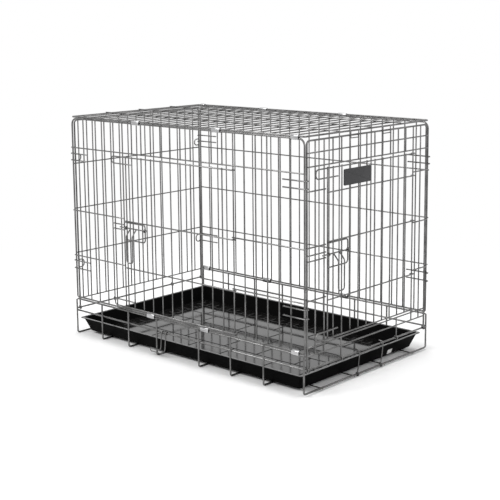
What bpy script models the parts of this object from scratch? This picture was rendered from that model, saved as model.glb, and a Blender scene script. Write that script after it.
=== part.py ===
"""Folding wire dog crate with a front door, an end door and a plastic tray.

Metres, +Z up. X runs along the crate, from the left end to the right end, and Y from the
front to the back. The origin is on the floor, under the middle of the whole crate.
Every grille is drawn in its own frame: across, up, and out of the crate.
"""

import math

import bmesh
import bpy
from mathutils import Matrix, Vector

# Driving sizes of the crate
CRATE_LENGTH = 0.760
CRATE_DEPTH = 0.4555
PANEL_HEIGHT = 0.460
PANEL_Z = 0.096

# Wire
THICK = 0.0021
THIN = 0.0016
GUIDE_WIRE = 0.0014
HOOK_WIRE = 0.0012
WELD_BITE = 0.0005
RUNNING_GAP = 0.00035
REST_GAP = 0.0003

# Layers of a grille, measured out of the crate from its upright wires, the part of a wire
# that runs on past its last weld, and a hairpin's bend radius as a share of its height
RAIL_OUT = 2 * THIN - WELD_BITE
DOOR_RAIL_OUT = 2 * THIN + RUNNING_GAP
DOOR_WIRE_OUT = DOOR_RAIL_OUT - RAIL_OUT
BOLT_OUT = DOOR_WIRE_OUT + 2 * THIN + RUNNING_GAP
WIRE_OVERHANG = 0.0009
WIRE_END = THIN + WIRE_OVERHANG
HAIRPIN_BEND = 0.45

# Base frame
RAIL_SPACING = 0.0055
LOWER_RAIL_Z = 0.0603
LOWER_RAIL_IN = 0.0031
RIGHT_HINGE_Z = 0.058
FOLD_GAP = 0.00105
LEG_BITE = 0.0009
LEG_OUT = 2 * THICK - LEG_BITE
LEG_BEND = 0.005
LEG_PLACES = (0.0, 0.0990, 0.1985, 0.3000, 0.4425, 0.5440, 0.6440)
RAISED_FOOT_Z = 0.0058
FLOOR_WIRE_PLACES = (0.057, 0.171, 0.285, 0.399)
FLOOR_WIRE_END = 0.004

# Front and back panels
FRONT_WIRES = 22
FRONT_FIRST = 0.0228
FRONT_LAST = 0.0382
FRONT_DOOR_FROM = 5
FRONT_DOOR_TO = 16
FRONT_LINTEL_DROP = 0.0728
FRONT_LINTEL = PANEL_HEIGHT - FRONT_LINTEL_DROP
FRONT_RAILS = (0.2265, 0.1100)
BACK_GAPS = 23
BACK_RAILS = (0.1163, 0.2310, 0.3458)
TOP_BEND = 0.015
BOTTOM_BEND = 0.004
FRONT_CATCH_HEIGHTS = (0.3716, 0.3549, 0.0958, 0.0760)
BACK_CATCH_HEIGHTS = (0.3780, 0.3613, 0.0958, 0.0760)
CATCH_REACH = 0.0055
CATCH_TURN = 0.009
CATCH_BEND = 2 * THIN
KEEPER_HEIGHTS = (0.2113, 0.1987)

# End panels
POST_INSET = 0.007
END_WIRES = 14
END_FIRST = 0.0346
END_LAST = 0.0307
END_TOP_DROP = 0.005
END_BEND = 0.008
END_STRUTS = (4, 11)
LEFT_RAILS = (0.1148, 0.2299, 0.3450)
LEFT_SILL = -0.0053
END_DOOR_FROM = 2
END_DOOR_TO = 13
RIGHT_SILLS = (0.0099, -0.0087)
RIGHT_LINTEL_DROPS = (0.0306, 0.0599)
RIGHT_LINTELS = tuple(PANEL_HEIGHT - drop for drop in RIGHT_LINTEL_DROPS)
RIGHT_RAILS = (0.3481, 0.2280, 0.1132)
STOP_HEIGHTS = (0.3686, 0.3519, 0.0958, 0.0760)
STOP_DEPTH = 0.017

# Top panel
TOP_BORDER_BEND = 0.006
TOP_LONG_WIRES = 3
TOP_HOOK_PLACES = (0.152, 0.270)
TOP_HOOK_WIDTH = 0.028
TOP_HOOK_DROP = 0.0155
TOP_HOOK_BEND = 3 * HOOK_WIRE

# Doors: heights above the panel's bottom rail, places across the panel. A door's top and
# bottom rails turn back at its free edge as hairpins, which stop it against the panel.
DOOR_EDGE_GAP = 0.0107
DOOR_FOOT = 0.0018
FRONT_DOOR_DROP = 0.0099
FRONT_DOOR_TOP = FRONT_LINTEL - FRONT_DOOR_DROP
FRONT_DOOR_RAILS = (FRONT_DOOR_TOP, 0.2212, 0.1049, 0.0060)
FRONT_HAIRPIN_TIP = 0.152
FRONT_HAIRPIN_HEIGHTS = (0.0167, 0.0160)
END_DOOR_DROP = 0.0083
END_DOOR_TOP = RIGHT_LINTELS[1] - END_DOOR_DROP
END_DOOR_SECOND_DROP = 0.0521
END_DOOR_RAILS = (END_DOOR_TOP, END_DOOR_TOP - END_DOOR_SECOND_DROP, 0.2324, 0.1041, 0.0179)
END_HAIRPIN_TIP = 0.0323
END_HAIRPIN_HEIGHTS = (0.0205, 0.0174)
END_HAIRPIN_TAIL = 0.1083

# Bolts and their guides
BOLT_HEIGHT = 0.5 * (KEEPER_HEIGHTS[0] + KEEPER_HEIGHTS[1])
BOLT_NOSE = 0.0112
BOLT_TAIL = 0.009
GUIDE_SPACING = 0.0676
GUIDE_FRAME_FOOT = 0.1756
HANDLE_FROM_GUIDE = 0.0161
HANDLE_WIDTH = 0.021
HANDLE_SLANT = 0.014
HANDLE_SLANT_DROP = 0.016
HANDLE_DROP = 0.082
HANDLE_SHOULDER_BEND = 0.008
HANDLE_END_BEND = 0.007
LATCH_BEND = 0.008

# Badge plate on the end door
PLATE_ACROSS = 0.1277
PLATE_WIDTH = 0.0965
PLATE_DROP = 0.0445
PLATE_FOOT = END_DOOR_TOP - PLATE_DROP
PLATE_HEIGHT = 0.0361
PLATE_SHEET = 0.0025
PLATE_CORNER = 0.003
PEG_RADIUS = 0.003
BACKING_WIDTH = 0.080
BACKING_HEIGHT = 0.014
BACKING_SHEET = 0.001

# Tray
TRAY_FROM = 0.006
TRAY_END_GAP = 0.0114
TRAY_TO = CRATE_LENGTH - TRAY_END_GAP
TRAY_SIDE_GAP = 0.0005
TRAY_TOP = 0.042
TRAY_RIM = 0.0065
TRAY_SLOPE = 0.013
TRAY_CORNER = 0.006
TRAY_WALL = 0.0015
TRAY_GAP = 0.0004

# Tray gate
GATE_PLACES = (0.186, 0.275)
GATE_WIRE = 0.0014
GATE_BAR_DROP = 0.004
GATE_HOOK_REACH = 0.006
GATE_HOOK_RISE = 0.0015
GATE_OVER_GAP = 0.0008
GATE_BAR_BEND = 0.004
GATE_TOP_BEND = 0.0025

# Fold hook
FOLD_HOOK_ACROSS = 0.3315
FOLD_HOOK_LEGS = 0.014
FOLD_HOOK_REACH = 0.051
FOLD_HOOK_BEND = 0.017
FOLD_HOOK_INNER_BEND = 0.008
FOLD_HOOK_LOOP = 0.0085
FOLD_HOOK_LOOP_BEND = 0.004
FOLD_HOOK_FOOT = 0.0087

# Sheet-metal hinge clips
CLIP_SHEET = 0.0010
CLIP_LENGTH = 0.025
CLIP_CORNER_LENGTH = 0.020
CLIP_SMALL_LENGTH = 0.0135
CLIP_CORNER_GAP = 0.0153
CLIP_LIP = 0.0055
FRONT_BOTTOM_CLIPS = (0.2785, 0.4610)
FRONT_TOP_CLIPS = (6.5, 14.5)
BACK_BOTTOM_CLIPS = (0.5, 7.5, 15.5)

# How finely the round shapes are drawn
WIRE_SIDES = 6
EYE_SIDES = 8
CLIP_STEPS = 4
CORNER_STEPS = 3
SHARP_ANGLE = math.radians(62)

# Heights and places that follow from the sizes above
RIDGE_INWARD = math.pi / WIRE_SIDES
FLAT = math.cos(RIDGE_INWARD)
FOOT_Z = THICK * FLAT
FLOOR_WIRE_Z = FOOT_Z + THICK + THIN - WELD_BITE
TRAY_FOOT = FLOOR_WIRE_Z + THIN + TRAY_GAP
BASE_RAIL_Z = PANEL_Z - RAIL_SPACING
PLATE_INNER = DOOR_WIRE_OUT + THIN + REST_GAP
PLATE_OUTER = PLATE_INNER + PLATE_SHEET
LEFT_HINGE_Z = RIGHT_HINGE_Z + THICK + PLATE_OUTER + FOLD_GAP
TOP_Z = PANEL_HEIGHT + 2 * THICK + REST_GAP
END_TOP = PANEL_HEIGHT - END_TOP_DROP
FRONT_PITCH = (CRATE_LENGTH - FRONT_FIRST - FRONT_LAST) / (FRONT_WIRES - 1)
END_PITCH = (CRATE_DEPTH - END_FIRST - END_LAST) / (END_WIRES - 1)
RAIL_EYE = THICK + RUNNING_GAP + THIN
CLIP_ROUND = (THICK + RUNNING_GAP) / math.cos(math.pi / (2 * CLIP_STEPS)) + CLIP_SHEET / 2
HANDLE_OUT = BOLT_OUT + HANDLE_SLANT

# Half-way between the crate's furthest points, handles and catches with it
MIDDLE_X = 0.5 * (CRATE_LENGTH + HANDLE_OUT + THIN - CATCH_REACH - THIN)
MIDDLE_Y = 0.5 * (CRATE_DEPTH + LEG_OUT + THICK - HANDLE_OUT - THIN)

STEEL = (0.62, 0.62, 0.63, 1.0)
STEEL_DARK = (0.42, 0.42, 0.43, 1.0)
PLASTIC_BLACK = (0.015, 0.015, 0.016, 1.0)
PLATE_GREY = (0.09, 0.09, 0.095, 1.0)

X_AXIS = Vector((1, 0, 0))
Y_AXIS = Vector((0, 1, 0))
Z_AXIS = Vector((0, 0, 1))


def front_x(index):
    """Place along the front of upright wire number index, counted from 0 at the left."""
    return FRONT_FIRST + FRONT_PITCH * index


def back_x(index):
    """Place along the back panel of upright wire number index; 0 and 23 are its posts."""
    return CRATE_LENGTH * index / BACK_GAPS


def end_y(index):
    """Place along an end panel of upright wire number index, counted from 1 at the front."""
    return END_FIRST + END_PITCH * (index - 1)


class Side:
    """The frame of a flat grille: a corner and the directions across, up and out."""

    def __init__(self, corner, across, up, out):
        self.corner = Vector(corner)
        self.across = across
        self.up = up
        self.out = out

    def at(self, across, up, out=0.0):
        return self.corner + across * self.across + up * self.up + out * self.out


FRONT = Side((0, 0, PANEL_Z), X_AXIS, Z_AXIS, -Y_AXIS)
BACK = Side((0, CRATE_DEPTH, PANEL_Z), X_AXIS, Z_AXIS, Y_AXIS)
LEFT = Side((0, 0, PANEL_Z), Y_AXIS, Z_AXIS, -X_AXIS)
RIGHT = Side((CRATE_LENGTH, 0, PANEL_Z), Y_AXIS, Z_AXIS, X_AXIS)
TOP = Side((0, 0, PANEL_Z + TOP_Z), X_AXIS, Y_AXIS, Z_AXIS)


def arc(centre, start, end, degrees, steps):
    """Points on an arc round centre: it leaves along start and turns towards end."""
    points = []
    for step in range(steps + 1):
        angle = math.radians(degrees) * step / steps
        points.append(centre + start * math.cos(angle) + end * math.sin(angle))
    return points


def bend(before, corner, after, radius, steps):
    """The round of a bent wire at corner, as points from one straight run to the next."""
    back = (before - corner).normalized()
    ahead = (after - corner).normalized()
    half = back.angle(ahead) / 2
    reach = radius / math.tan(half)
    centre = corner + (back + ahead).normalized() * radius / math.sin(half)
    first = corner + back * reach - centre
    last = corner + ahead * reach - centre
    turn = first.angle(last)
    across = (last - first * math.cos(turn)) / math.sin(turn)
    return arc(centre, first, across, math.degrees(turn), steps)


def rounded(corners, radii, closed=False, steps=CORNER_STEPS):
    """A wire's route through corners, each with its bend radius; 0 keeps an end or a point."""
    points = []
    count = len(corners)
    for index, (corner, radius) in enumerate(zip(corners, radii)):
        if radius == 0 or (not closed and index in (0, count - 1)):
            points.append(corner)
            continue
        points += bend(corners[index - 1], corner, corners[(index + 1) % count], radius, steps)
    return points


def wire_mesh(points, radius, closed=False, resolution=1, tilt=0.0):
    """A bent wire: a poly curve with a round bevel, made a closed mesh."""
    curve = bpy.data.curves.new("wire", "CURVE")
    curve.dimensions = "3D"
    curve.bevel_depth = radius
    curve.bevel_resolution = resolution
    curve.use_fill_caps = True
    spline = curve.splines.new("POLY")
    spline.points.add(len(points) - 1)
    for place, point in zip(spline.points, points):
        place.co = (*point, 1.0)
        place.tilt = tilt
    spline.use_cyclic_u = closed
    guide = bpy.data.objects.new("wire", curve)
    bpy.context.scene.collection.objects.link(guide)
    graph = bpy.context.evaluated_depsgraph_get()
    mesh = bpy.data.meshes.new_from_object(guide.evaluated_get(graph))
    bpy.data.objects.remove(guide)
    bpy.data.curves.remove(curve)
    return mesh


class Wirework:
    """Wires of one welded sub-part, gathered in two layers that a Boolean union welds."""

    def __init__(self):
        self.layers = (bmesh.new(), bmesh.new())

    def add_mesh(self, mesh, layer):
        """Takes in a wire's mesh, with its loose caps welded on."""
        piece = bmesh.new()
        piece.from_mesh(mesh)
        bmesh.ops.remove_doubles(piece, verts=piece.verts, dist=1e-6)
        bmesh.ops.recalc_face_normals(piece, faces=piece.faces)
        piece.to_mesh(mesh)
        piece.free()
        self.layers[layer].from_mesh(mesh)
        bpy.data.meshes.remove(mesh)

    def bar(self, start, end, radius, ridge, layer=0):
        """A straight six-sided bar with one ridge facing the ridge direction."""
        along = (end - start).normalized()
        side = (ridge - along * ridge.dot(along)).normalized()
        turn = Matrix((side.cross(along), side, along)).transposed().to_4x4()
        turn.translation = (start + end) / 2
        bmesh.ops.create_cone(
            self.layers[layer],
            cap_ends=True,
            segments=WIRE_SIDES,
            radius1=radius,
            radius2=radius,
            depth=(end - start).length,
            matrix=turn,
        )

    def wire(self, points, radius, closed=False, layer=1, resolution=1, tilt=0.0):
        """A bent wire through points."""
        self.add_mesh(wire_mesh(points, radius, closed, resolution, tilt), layer)

    def eye(self, centre, axis, inner, radius, layer=1):
        """A ring of wire round the axis, with its bore's radius given."""
        first = axis.orthogonal().normalized()
        second = axis.normalized().cross(first)
        reach = (inner + radius) / math.cos(math.pi / EYE_SIDES)
        steps = EYE_SIDES - 1
        points = arc(centre, first * reach, second * reach, 360 * steps / EYE_SIDES, steps)
        self.wire(points, radius, closed=True, layer=layer, resolution=0)

    def welded(self):
        """The union of all the wires, as one mesh."""
        objects = []
        for layer in self.layers:
            mesh = bpy.data.meshes.new("layer")
            layer.to_mesh(mesh)
            layer.free()
            objects.append(bpy.data.objects.new("layer", mesh))
            bpy.context.scene.collection.objects.link(objects[-1])
        weld = objects[0].modifiers.new("weld", "BOOLEAN")
        weld.operation = "UNION"
        weld.object = objects[1]
        weld.use_self = True
        graph = bpy.context.evaluated_depsgraph_get()
        mesh = bpy.data.meshes.new_from_object(objects[0].evaluated_get(graph))
        for part in objects:
            spent = part.data
            bpy.data.objects.remove(part)
            bpy.data.meshes.remove(spent)
        return mesh


class Grille(Wirework):
    """Wirework drawn in the frame of one side of the crate."""

    def __init__(self, side):
        super().__init__()
        self.side = side

    def upright(self, across, low, high, out=0.0, radius=THIN):
        """A wire that runs up the grille."""
        start = self.side.at(across, low, out)
        self.bar(start, self.side.at(across, high, out), radius, self.side.out)

    def rail(self, up, left, right, out=RAIL_OUT):
        """A wire that runs across the grille, on its outer face unless out says otherwise."""
        start = self.side.at(left, up, out)
        self.bar(start, self.side.at(right, up, out), THIN, self.side.out, layer=1)

    def sill(self, up, left, right):
        """A wire that runs across in the plane of the upright wires, and ends their row."""
        self.bar(self.side.at(left, up), self.side.at(right, up), THIN, self.side.up, layer=1)

    def route(self, places, radii, radius, closed=False, steps=2, tilt=0.0):
        """A bent wire through (across, up, out) places."""
        corners = [self.side.at(*place) for place in places]
        self.wire(rounded(corners, radii, closed, steps), radius, closed, tilt=tilt)


def new_material(name, colour, roughness, metallic):
    """A plain Principled material."""
    material = bpy.data.materials.new(name)
    material.use_nodes = True
    shader = material.node_tree.nodes["Principled BSDF"]
    shader.inputs["Base Color"].default_value = colour
    shader.inputs["Roughness"].default_value = roughness
    shader.inputs["Metallic"].default_value = metallic
    material.diffuse_color = colour
    return material


def place_part(name, mesh, pivot, material, parent=None):
    """Makes mesh the named sub-part, with its origin at pivot, and hangs it on its parent."""
    mesh.name = name
    mesh.transform(Matrix.Translation(-pivot))
    mesh.materials.clear()
    mesh.materials.append(material)
    mesh.shade_smooth()
    mesh.set_sharp_from_angle(angle=SHARP_ANGLE)
    part = bpy.data.objects.new(name, mesh)
    part.location = pivot - Vector((MIDDLE_X, MIDDLE_Y, 0))
    bpy.data.collections["folding_dog_crate"].objects.link(part)
    if parent:
        part.parent = parent
        part.matrix_parent_inverse = Matrix.Translation(-parent.location)
    return part


def catch_bars(grille, heights):
    """Two pairs of catch bars at each corner, hooked round past the end panels."""
    turned = CATCH_TURN - RAIL_OUT
    for up in heights:
        for tip, last in (
            (-CATCH_REACH, front_x(1) + WIRE_END),
            (CRATE_LENGTH + CATCH_REACH, CRATE_LENGTH - (front_x(1) + WIRE_END)),
        ):
            places = [(last, up, RAIL_OUT), (tip, up, RAIL_OUT), (tip, up, -turned)]
            grille.route(places, (0, CATCH_BEND, 0), THIN, steps=1)


def border(grille, width, height, top_bend, bottom_bend, tilt=RIDGE_INWARD):
    """The closed border wire of a grille."""
    places = [(0, 0, 0), (0, height, 0), (width, height, 0), (width, 0, 0)]
    radii = (bottom_bend, top_bend, top_bend, bottom_bend)
    grille.route(places, radii, THICK, closed=True, tilt=tilt)


def front_panel():
    """The front grille, with the doorway, the catch bars and the bolt's keeper."""
    grille = Grille(FRONT)
    border(grille, CRATE_LENGTH, PANEL_HEIGHT, TOP_BEND, BOTTOM_BEND)
    for index in range(FRONT_WIRES):
        over_door = FRONT_DOOR_FROM < index < FRONT_DOOR_TO
        low = FRONT_LINTEL - WIRE_END if over_door else 0.0
        grille.upright(front_x(index), low, PANEL_HEIGHT)
    grille.rail(FRONT_LINTEL, -WIRE_END, CRATE_LENGTH + WIRE_END)
    for up in FRONT_RAILS:
        grille.rail(up, -WIRE_END, front_x(FRONT_DOOR_FROM) + WIRE_END)
        grille.rail(up, front_x(FRONT_DOOR_TO) - WIRE_END, CRATE_LENGTH + WIRE_END)
    for up in KEEPER_HEIGHTS:
        start = front_x(FRONT_DOOR_FROM - 1) - WIRE_END
        grille.rail(up, start, front_x(FRONT_DOOR_FROM) + WIRE_END)
    catch_bars(grille, FRONT_CATCH_HEIGHTS)
    return grille.welded()


def back_panel():
    """The back grille, with the same catch bars."""
    grille = Grille(BACK)
    border(grille, CRATE_LENGTH, PANEL_HEIGHT, TOP_BEND, BOTTOM_BEND)
    for index in range(1, BACK_GAPS):
        grille.upright(back_x(index), 0.0, PANEL_HEIGHT)
    for up in BACK_RAILS:
        grille.rail(up, -WIRE_END, CRATE_LENGTH + WIRE_END)
    catch_bars(grille, BACK_CATCH_HEIGHTS)
    return grille.welded()


def end_frame(side, hinge_z, sill, strut_top):
    """What both end panels share: posts and top as one wire, a sill, struts and eyes."""
    grille = Grille(side)
    hinge = hinge_z - PANEL_Z
    foot = hinge + RAIL_EYE
    far = CRATE_DEPTH - POST_INSET
    places = [(POST_INSET, foot, 0), (POST_INSET, END_TOP, 0), (far, END_TOP, 0), (far, foot, 0)]
    grille.route(places, (0, END_BEND, END_BEND, 0), THICK, tilt=RIDGE_INWARD)
    grille.sill(sill, POST_INSET, far)
    for index in END_STRUTS:
        grille.upright(end_y(index), foot, strut_top)
    for across in (POST_INSET, end_y(END_STRUTS[0]), end_y(END_STRUTS[1]), far):
        grille.eye(side.at(across, hinge), Y_AXIS, THICK + RUNNING_GAP, THIN)
    return grille


def stops(grille):
    """D-shaped stops on both posts of an end panel."""
    for post, inward in ((POST_INSET, 1), (CRATE_DEPTH - POST_INSET, -1)):
        tip = post + inward * STOP_DEPTH
        for high, low in (STOP_HEIGHTS[:2], STOP_HEIGHTS[2:]):
            places = [(post, high, 0), (tip, high, 0), (tip, low, 0), (post, low, 0)]
            bend_radius = (high - low) * HAIRPIN_BEND
            grille.route(places, (0, bend_radius, bend_radius, 0), THIN, steps=1)


def left_end_panel():
    """The left grille, which folds inward, with its stops."""
    grille = end_frame(LEFT, LEFT_HINGE_Z, LEFT_SILL, END_TOP)
    stops(grille)
    for index in range(1, END_WIRES + 1):
        if index not in END_STRUTS:
            grille.upright(end_y(index), LEFT_SILL, END_TOP)
    for up in LEFT_RAILS:
        grille.rail(up, POST_INSET - WIRE_END, CRATE_DEPTH - POST_INSET + WIRE_END)
    return grille.welded()


def right_end_panel():
    """The right grille, with the end doorway and the bolt's keeper."""
    sill = RIGHT_SILLS[0]
    grille = end_frame(RIGHT, RIGHT_HINGE_Z, RIGHT_SILLS[1], sill)
    far = CRATE_DEPTH - POST_INSET
    grille.sill(sill, POST_INSET, far)
    for index in range(1, END_WIRES + 1):
        over_door = END_DOOR_FROM < index < END_DOOR_TO
        low = RIGHT_LINTELS[1] - WIRE_END if over_door else RIGHT_SILLS[1]
        grille.upright(end_y(index), low, END_TOP)
    for up in RIGHT_LINTELS:
        grille.rail(up, POST_INSET - WIRE_END, far + WIRE_END)
    door_left = end_y(END_DOOR_FROM) + WIRE_END
    for up in RIGHT_RAILS:
        grille.rail(up, POST_INSET - WIRE_END, door_left)
        grille.rail(up, end_y(END_DOOR_TO) - WIRE_END, far + WIRE_END)
    for up in KEEPER_HEIGHTS:
        grille.rail(up, POST_INSET - WIRE_END, door_left)
    return grille.welded()


def top_panel():
    """The top grille, with two hooks at each end that reach over the end panels."""
    grille = Grille(TOP)
    border(grille, CRATE_LENGTH, CRATE_DEPTH, TOP_BORDER_BEND, TOP_BORDER_BEND, tilt=0.0)
    for index in range(FRONT_WIRES):
        grille.upright(front_x(index), 0.0, CRATE_DEPTH)
    for count in range(1, TOP_LONG_WIRES + 1):
        up = CRATE_DEPTH * count / (TOP_LONG_WIRES + 1)
        grille.rail(up, -WIRE_END, CRATE_LENGTH + WIRE_END)
    clear = THICK + RUNNING_GAP + HOOK_WIRE
    for end, outward in ((0.0, -1), (CRATE_LENGTH, 1)):
        for near in TOP_HOOK_PLACES:
            far = near + TOP_HOOK_WIDTH
            outer = end + outward * clear
            places = [
                (end, near, 0),
                (outer, near, -HOOK_WIRE),
                (outer, near, -TOP_HOOK_DROP),
                (outer, far, -TOP_HOOK_DROP),
                (outer, far, -HOOK_WIRE),
                (end, far, 0),
            ]
            radii = (0, 0, TOP_HOOK_BEND, TOP_HOOK_BEND, 0, 0)
            grille.route(places, radii, HOOK_WIRE, steps=1)
    return grille.welded()


def door_frame(side, places, rails, hairpin_heights, tip, tail):
    """A door: rails that end in eyes, upright wires, two stop hairpins and the bolt's guides.

    places holds the panel's upright wires at the doorway, from its free side to its hinge.
    """
    grille = Grille(side)
    edge, hinge = places[0] + DOOR_EDGE_GAP, places[-1]
    top, bottom = rails[0], rails[-1]
    for across in [edge] + places[1:-1]:
        grille.upright(across, bottom - DOOR_FOOT, top + WIRE_END, out=DOOR_WIRE_OUT)
    inner = THIN + RUNNING_GAP
    for up in rails:
        grille.eye(side.at(hinge, up), Z_AXIS, inner, THIN)
    for up in rails[1:-1]:
        grille.rail(up, edge - WIRE_END, hinge, out=DOOR_RAIL_OUT)
    for up, inward, height in ((top, -1, hairpin_heights[0]), (bottom, 1, hairpin_heights[1])):
        out = DOOR_RAIL_OUT
        back = up + inward * height
        corners = [(hinge, up, out), (tip, up, out), (tip, back, out), (tail, back, out)]
        round_end = height * HAIRPIN_BEND
        grille.route(corners, (0, round_end, round_end, 0), THIN)
    guide = edge + GUIDE_SPACING
    guide_bore = THIN + RUNNING_GAP
    reach = guide_bore + GUIDE_WIRE
    above = min(up for up in rails if up > BOLT_HEIGHT)
    for across in (edge, guide):
        grille.eye(side.at(across, BOLT_HEIGHT, BOLT_OUT), side.across, guide_bore, GUIDE_WIRE)
    grille.upright(guide, BOLT_HEIGHT + reach, above, out=DOOR_RAIL_OUT)
    corners = [
        (edge - WIRE_END, GUIDE_FRAME_FOOT, DOOR_RAIL_OUT),
        (guide, GUIDE_FRAME_FOOT, DOOR_RAIL_OUT),
        (guide, BOLT_HEIGHT - reach, DOOR_RAIL_OUT),
    ]
    grille.route(corners, (0, LATCH_BEND, 0), THIN)
    return grille.welded()


def front_door():
    """The front door, hung on the front panel."""
    places = [front_x(index) for index in range(FRONT_DOOR_FROM, FRONT_DOOR_TO + 1)]
    tip, tail = FRONT_HAIRPIN_TIP, places[1] + WIRE_END
    return door_frame(FRONT, places, FRONT_DOOR_RAILS, FRONT_HAIRPIN_HEIGHTS, tip, tail)


def end_door():
    """The end door, hung on the right end panel."""
    places = [end_y(index) for index in range(END_DOOR_FROM, END_DOOR_TO + 1)]
    tip, tail = END_HAIRPIN_TIP, END_HAIRPIN_TAIL
    return door_frame(RIGHT, places, END_DOOR_RAILS, END_HAIRPIN_HEIGHTS, tip, tail)


def door_bolt(side, edge):
    """A bolt: a rod through the two guides, with a long U handle welded to it."""
    grille = Grille(side)
    up = BOLT_HEIGHT
    left = edge - DOOR_EDGE_GAP - BOLT_NOSE
    right = edge + GUIDE_SPACING + BOLT_TAIL
    grille.bar(side.at(left, up, BOLT_OUT), side.at(right, up, BOLT_OUT), THIN, side.out)
    near = edge + HANDLE_FROM_GUIDE
    far = near + HANDLE_WIDTH
    places = [
        (near, up, BOLT_OUT),
        (near, up - HANDLE_SLANT_DROP, HANDLE_OUT),
        (near, up - HANDLE_DROP, HANDLE_OUT),
        (far, up - HANDLE_DROP, HANDLE_OUT),
        (far, up - HANDLE_SLANT_DROP, HANDLE_OUT),
        (far, up, BOLT_OUT),
    ]
    shoulder, end = HANDLE_SHOULDER_BEND, HANDLE_END_BEND
    grille.route(places, (0, shoulder, end, end, shoulder, 0), THIN)
    return grille.welded()


def base_frame():
    """Legs and feet, rails and floor wires, welded into one base."""
    frame = Wirework()
    back_leg = CRATE_DEPTH + LEG_OUT
    leg_top = BASE_RAIL_Z - WELD_BITE
    places = list(LEG_PLACES) + [CRATE_LENGTH]
    for x in places:
        foot = RAISED_FOOT_Z if x == CRATE_LENGTH else FOOT_Z
        corners = [
            Vector((x, -LEG_OUT, leg_top)),
            Vector((x, -LEG_OUT, foot)),
            Vector((x, back_leg, foot)),
            Vector((x, back_leg, leg_top)),
        ]
        frame.wire(rounded(corners, (0, LEG_BEND, LEG_BEND, 0)), THICK, layer=0)
    for y, inward in ((0.0, 1), (CRATE_DEPTH, -1)):
        top_rail = (Vector((0, y, BASE_RAIL_Z)), Vector((CRATE_LENGTH, y, BASE_RAIL_Z)))
        frame.bar(*top_rail, THICK, Y_AXIS, layer=1)
        low = y - inward * (LEG_OUT - LOWER_RAIL_IN)
        lower_rail = (Vector((0, low, LOWER_RAIL_Z)), Vector((CRATE_LENGTH, low, LOWER_RAIL_Z)))
        frame.bar(*lower_rail, THICK, Y_AXIS, layer=1)
    for x, z in ((0.0, LEFT_HINGE_Z), (CRATE_LENGTH, RIGHT_HINGE_Z)):
        frame.bar(Vector((x, -LEG_OUT, z)), Vector((x, back_leg, z)), THICK, X_AXIS, layer=1)
    for y in FLOOR_WIRE_PLACES:
        start = Vector((-FLOOR_WIRE_END, y, FLOOR_WIRE_Z))
        end = Vector((CRATE_LENGTH + FLOOR_WIRE_END, y, FLOOR_WIRE_Z))
        frame.bar(start, end, THIN, Z_AXIS, layer=1)
    return frame.welded()


def tray_gate():
    """The wire gate behind which the tray is kept; it turns on the right-hand foot."""
    gate = Wirework()
    x = CRATE_LENGTH
    near, far = GATE_PLACES
    outer = x + THICK + RUNNING_GAP + 2 * GATE_WIRE
    over = RIGHT_HINGE_Z + THICK + GATE_OVER_GAP + GATE_WIRE
    bar_z = RIGHT_HINGE_Z - GATE_BAR_DROP
    foot = RAISED_FOOT_Z + THICK + RUNNING_GAP + GATE_WIRE
    for y in (near, far):
        gate.eye(Vector((x, y, RAISED_FOOT_Z)), Y_AXIS, THICK + RUNNING_GAP, GATE_WIRE)
        corners = [
            Vector((x, y, foot)),
            Vector((outer, y, bar_z)),
            Vector((outer, y, over)),
            Vector((x - GATE_HOOK_REACH, y, over + GATE_HOOK_RISE)),
        ]
        gate.wire(rounded(corners, (0, GATE_BAR_BEND, GATE_TOP_BEND, 0)), GATE_WIRE)
    gate.bar(Vector((outer, near, bar_z)), Vector((outer, far, bar_z)), GATE_WIRE, X_AXIS)
    return gate.welded()


def fold_hook():
    """The doubled wire hook on the front lower rail that holds the folded crate shut."""
    hook = Wirework()
    rail_y = LOWER_RAIL_IN - LEG_OUT
    eye = THICK + RUNNING_GAP
    hung = rail_y - eye - HOOK_WIRE
    clear = -(LEG_OUT + THICK + RUNNING_GAP + HOOK_WIRE)
    right = FOLD_HOOK_ACROSS
    left = right - FOLD_HOOK_LEGS
    tip = right - FOLD_HOOK_REACH
    low = FOLD_HOOK_FOOT
    high = low + FOLD_HOOK_LOOP
    corners = [
        Vector((right, hung, LOWER_RAIL_Z)),
        Vector((right, clear, low)),
        Vector((tip, clear, low)),
        Vector((tip, clear, high)),
        Vector((left, clear, high)),
        Vector((left, hung, LOWER_RAIL_Z)),
    ]
    loop = FOLD_HOOK_LOOP_BEND
    radii = (0, FOLD_HOOK_BEND, loop, loop, FOLD_HOOK_INNER_BEND, 0)
    hook.wire(rounded(corners, radii), HOOK_WIRE, layer=0)
    for x in (left, right):
        hook.eye(Vector((x, rail_y, LOWER_RAIL_Z)), X_AXIS, eye, HOOK_WIRE)
    return hook.welded()


def sheet_metal(strip):
    """The mesh of an open strip that has been given its sheet thickness."""
    mesh = bpy.data.meshes.new("sheet")
    strip.to_mesh(mesh)
    strip.free()
    holder = bpy.data.objects.new("sheet", mesh)
    bpy.context.scene.collection.objects.link(holder)
    thicken = holder.modifiers.new("thicken", "SOLIDIFY")
    thicken.thickness = CLIP_SHEET
    thicken.offset = 0.0
    thicken.use_even_offset = True
    graph = bpy.context.evaluated_depsgraph_get()
    made = bpy.data.meshes.new_from_object(holder.evaluated_get(graph))
    bpy.data.objects.remove(holder)
    bpy.data.meshes.remove(mesh)
    return made


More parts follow.
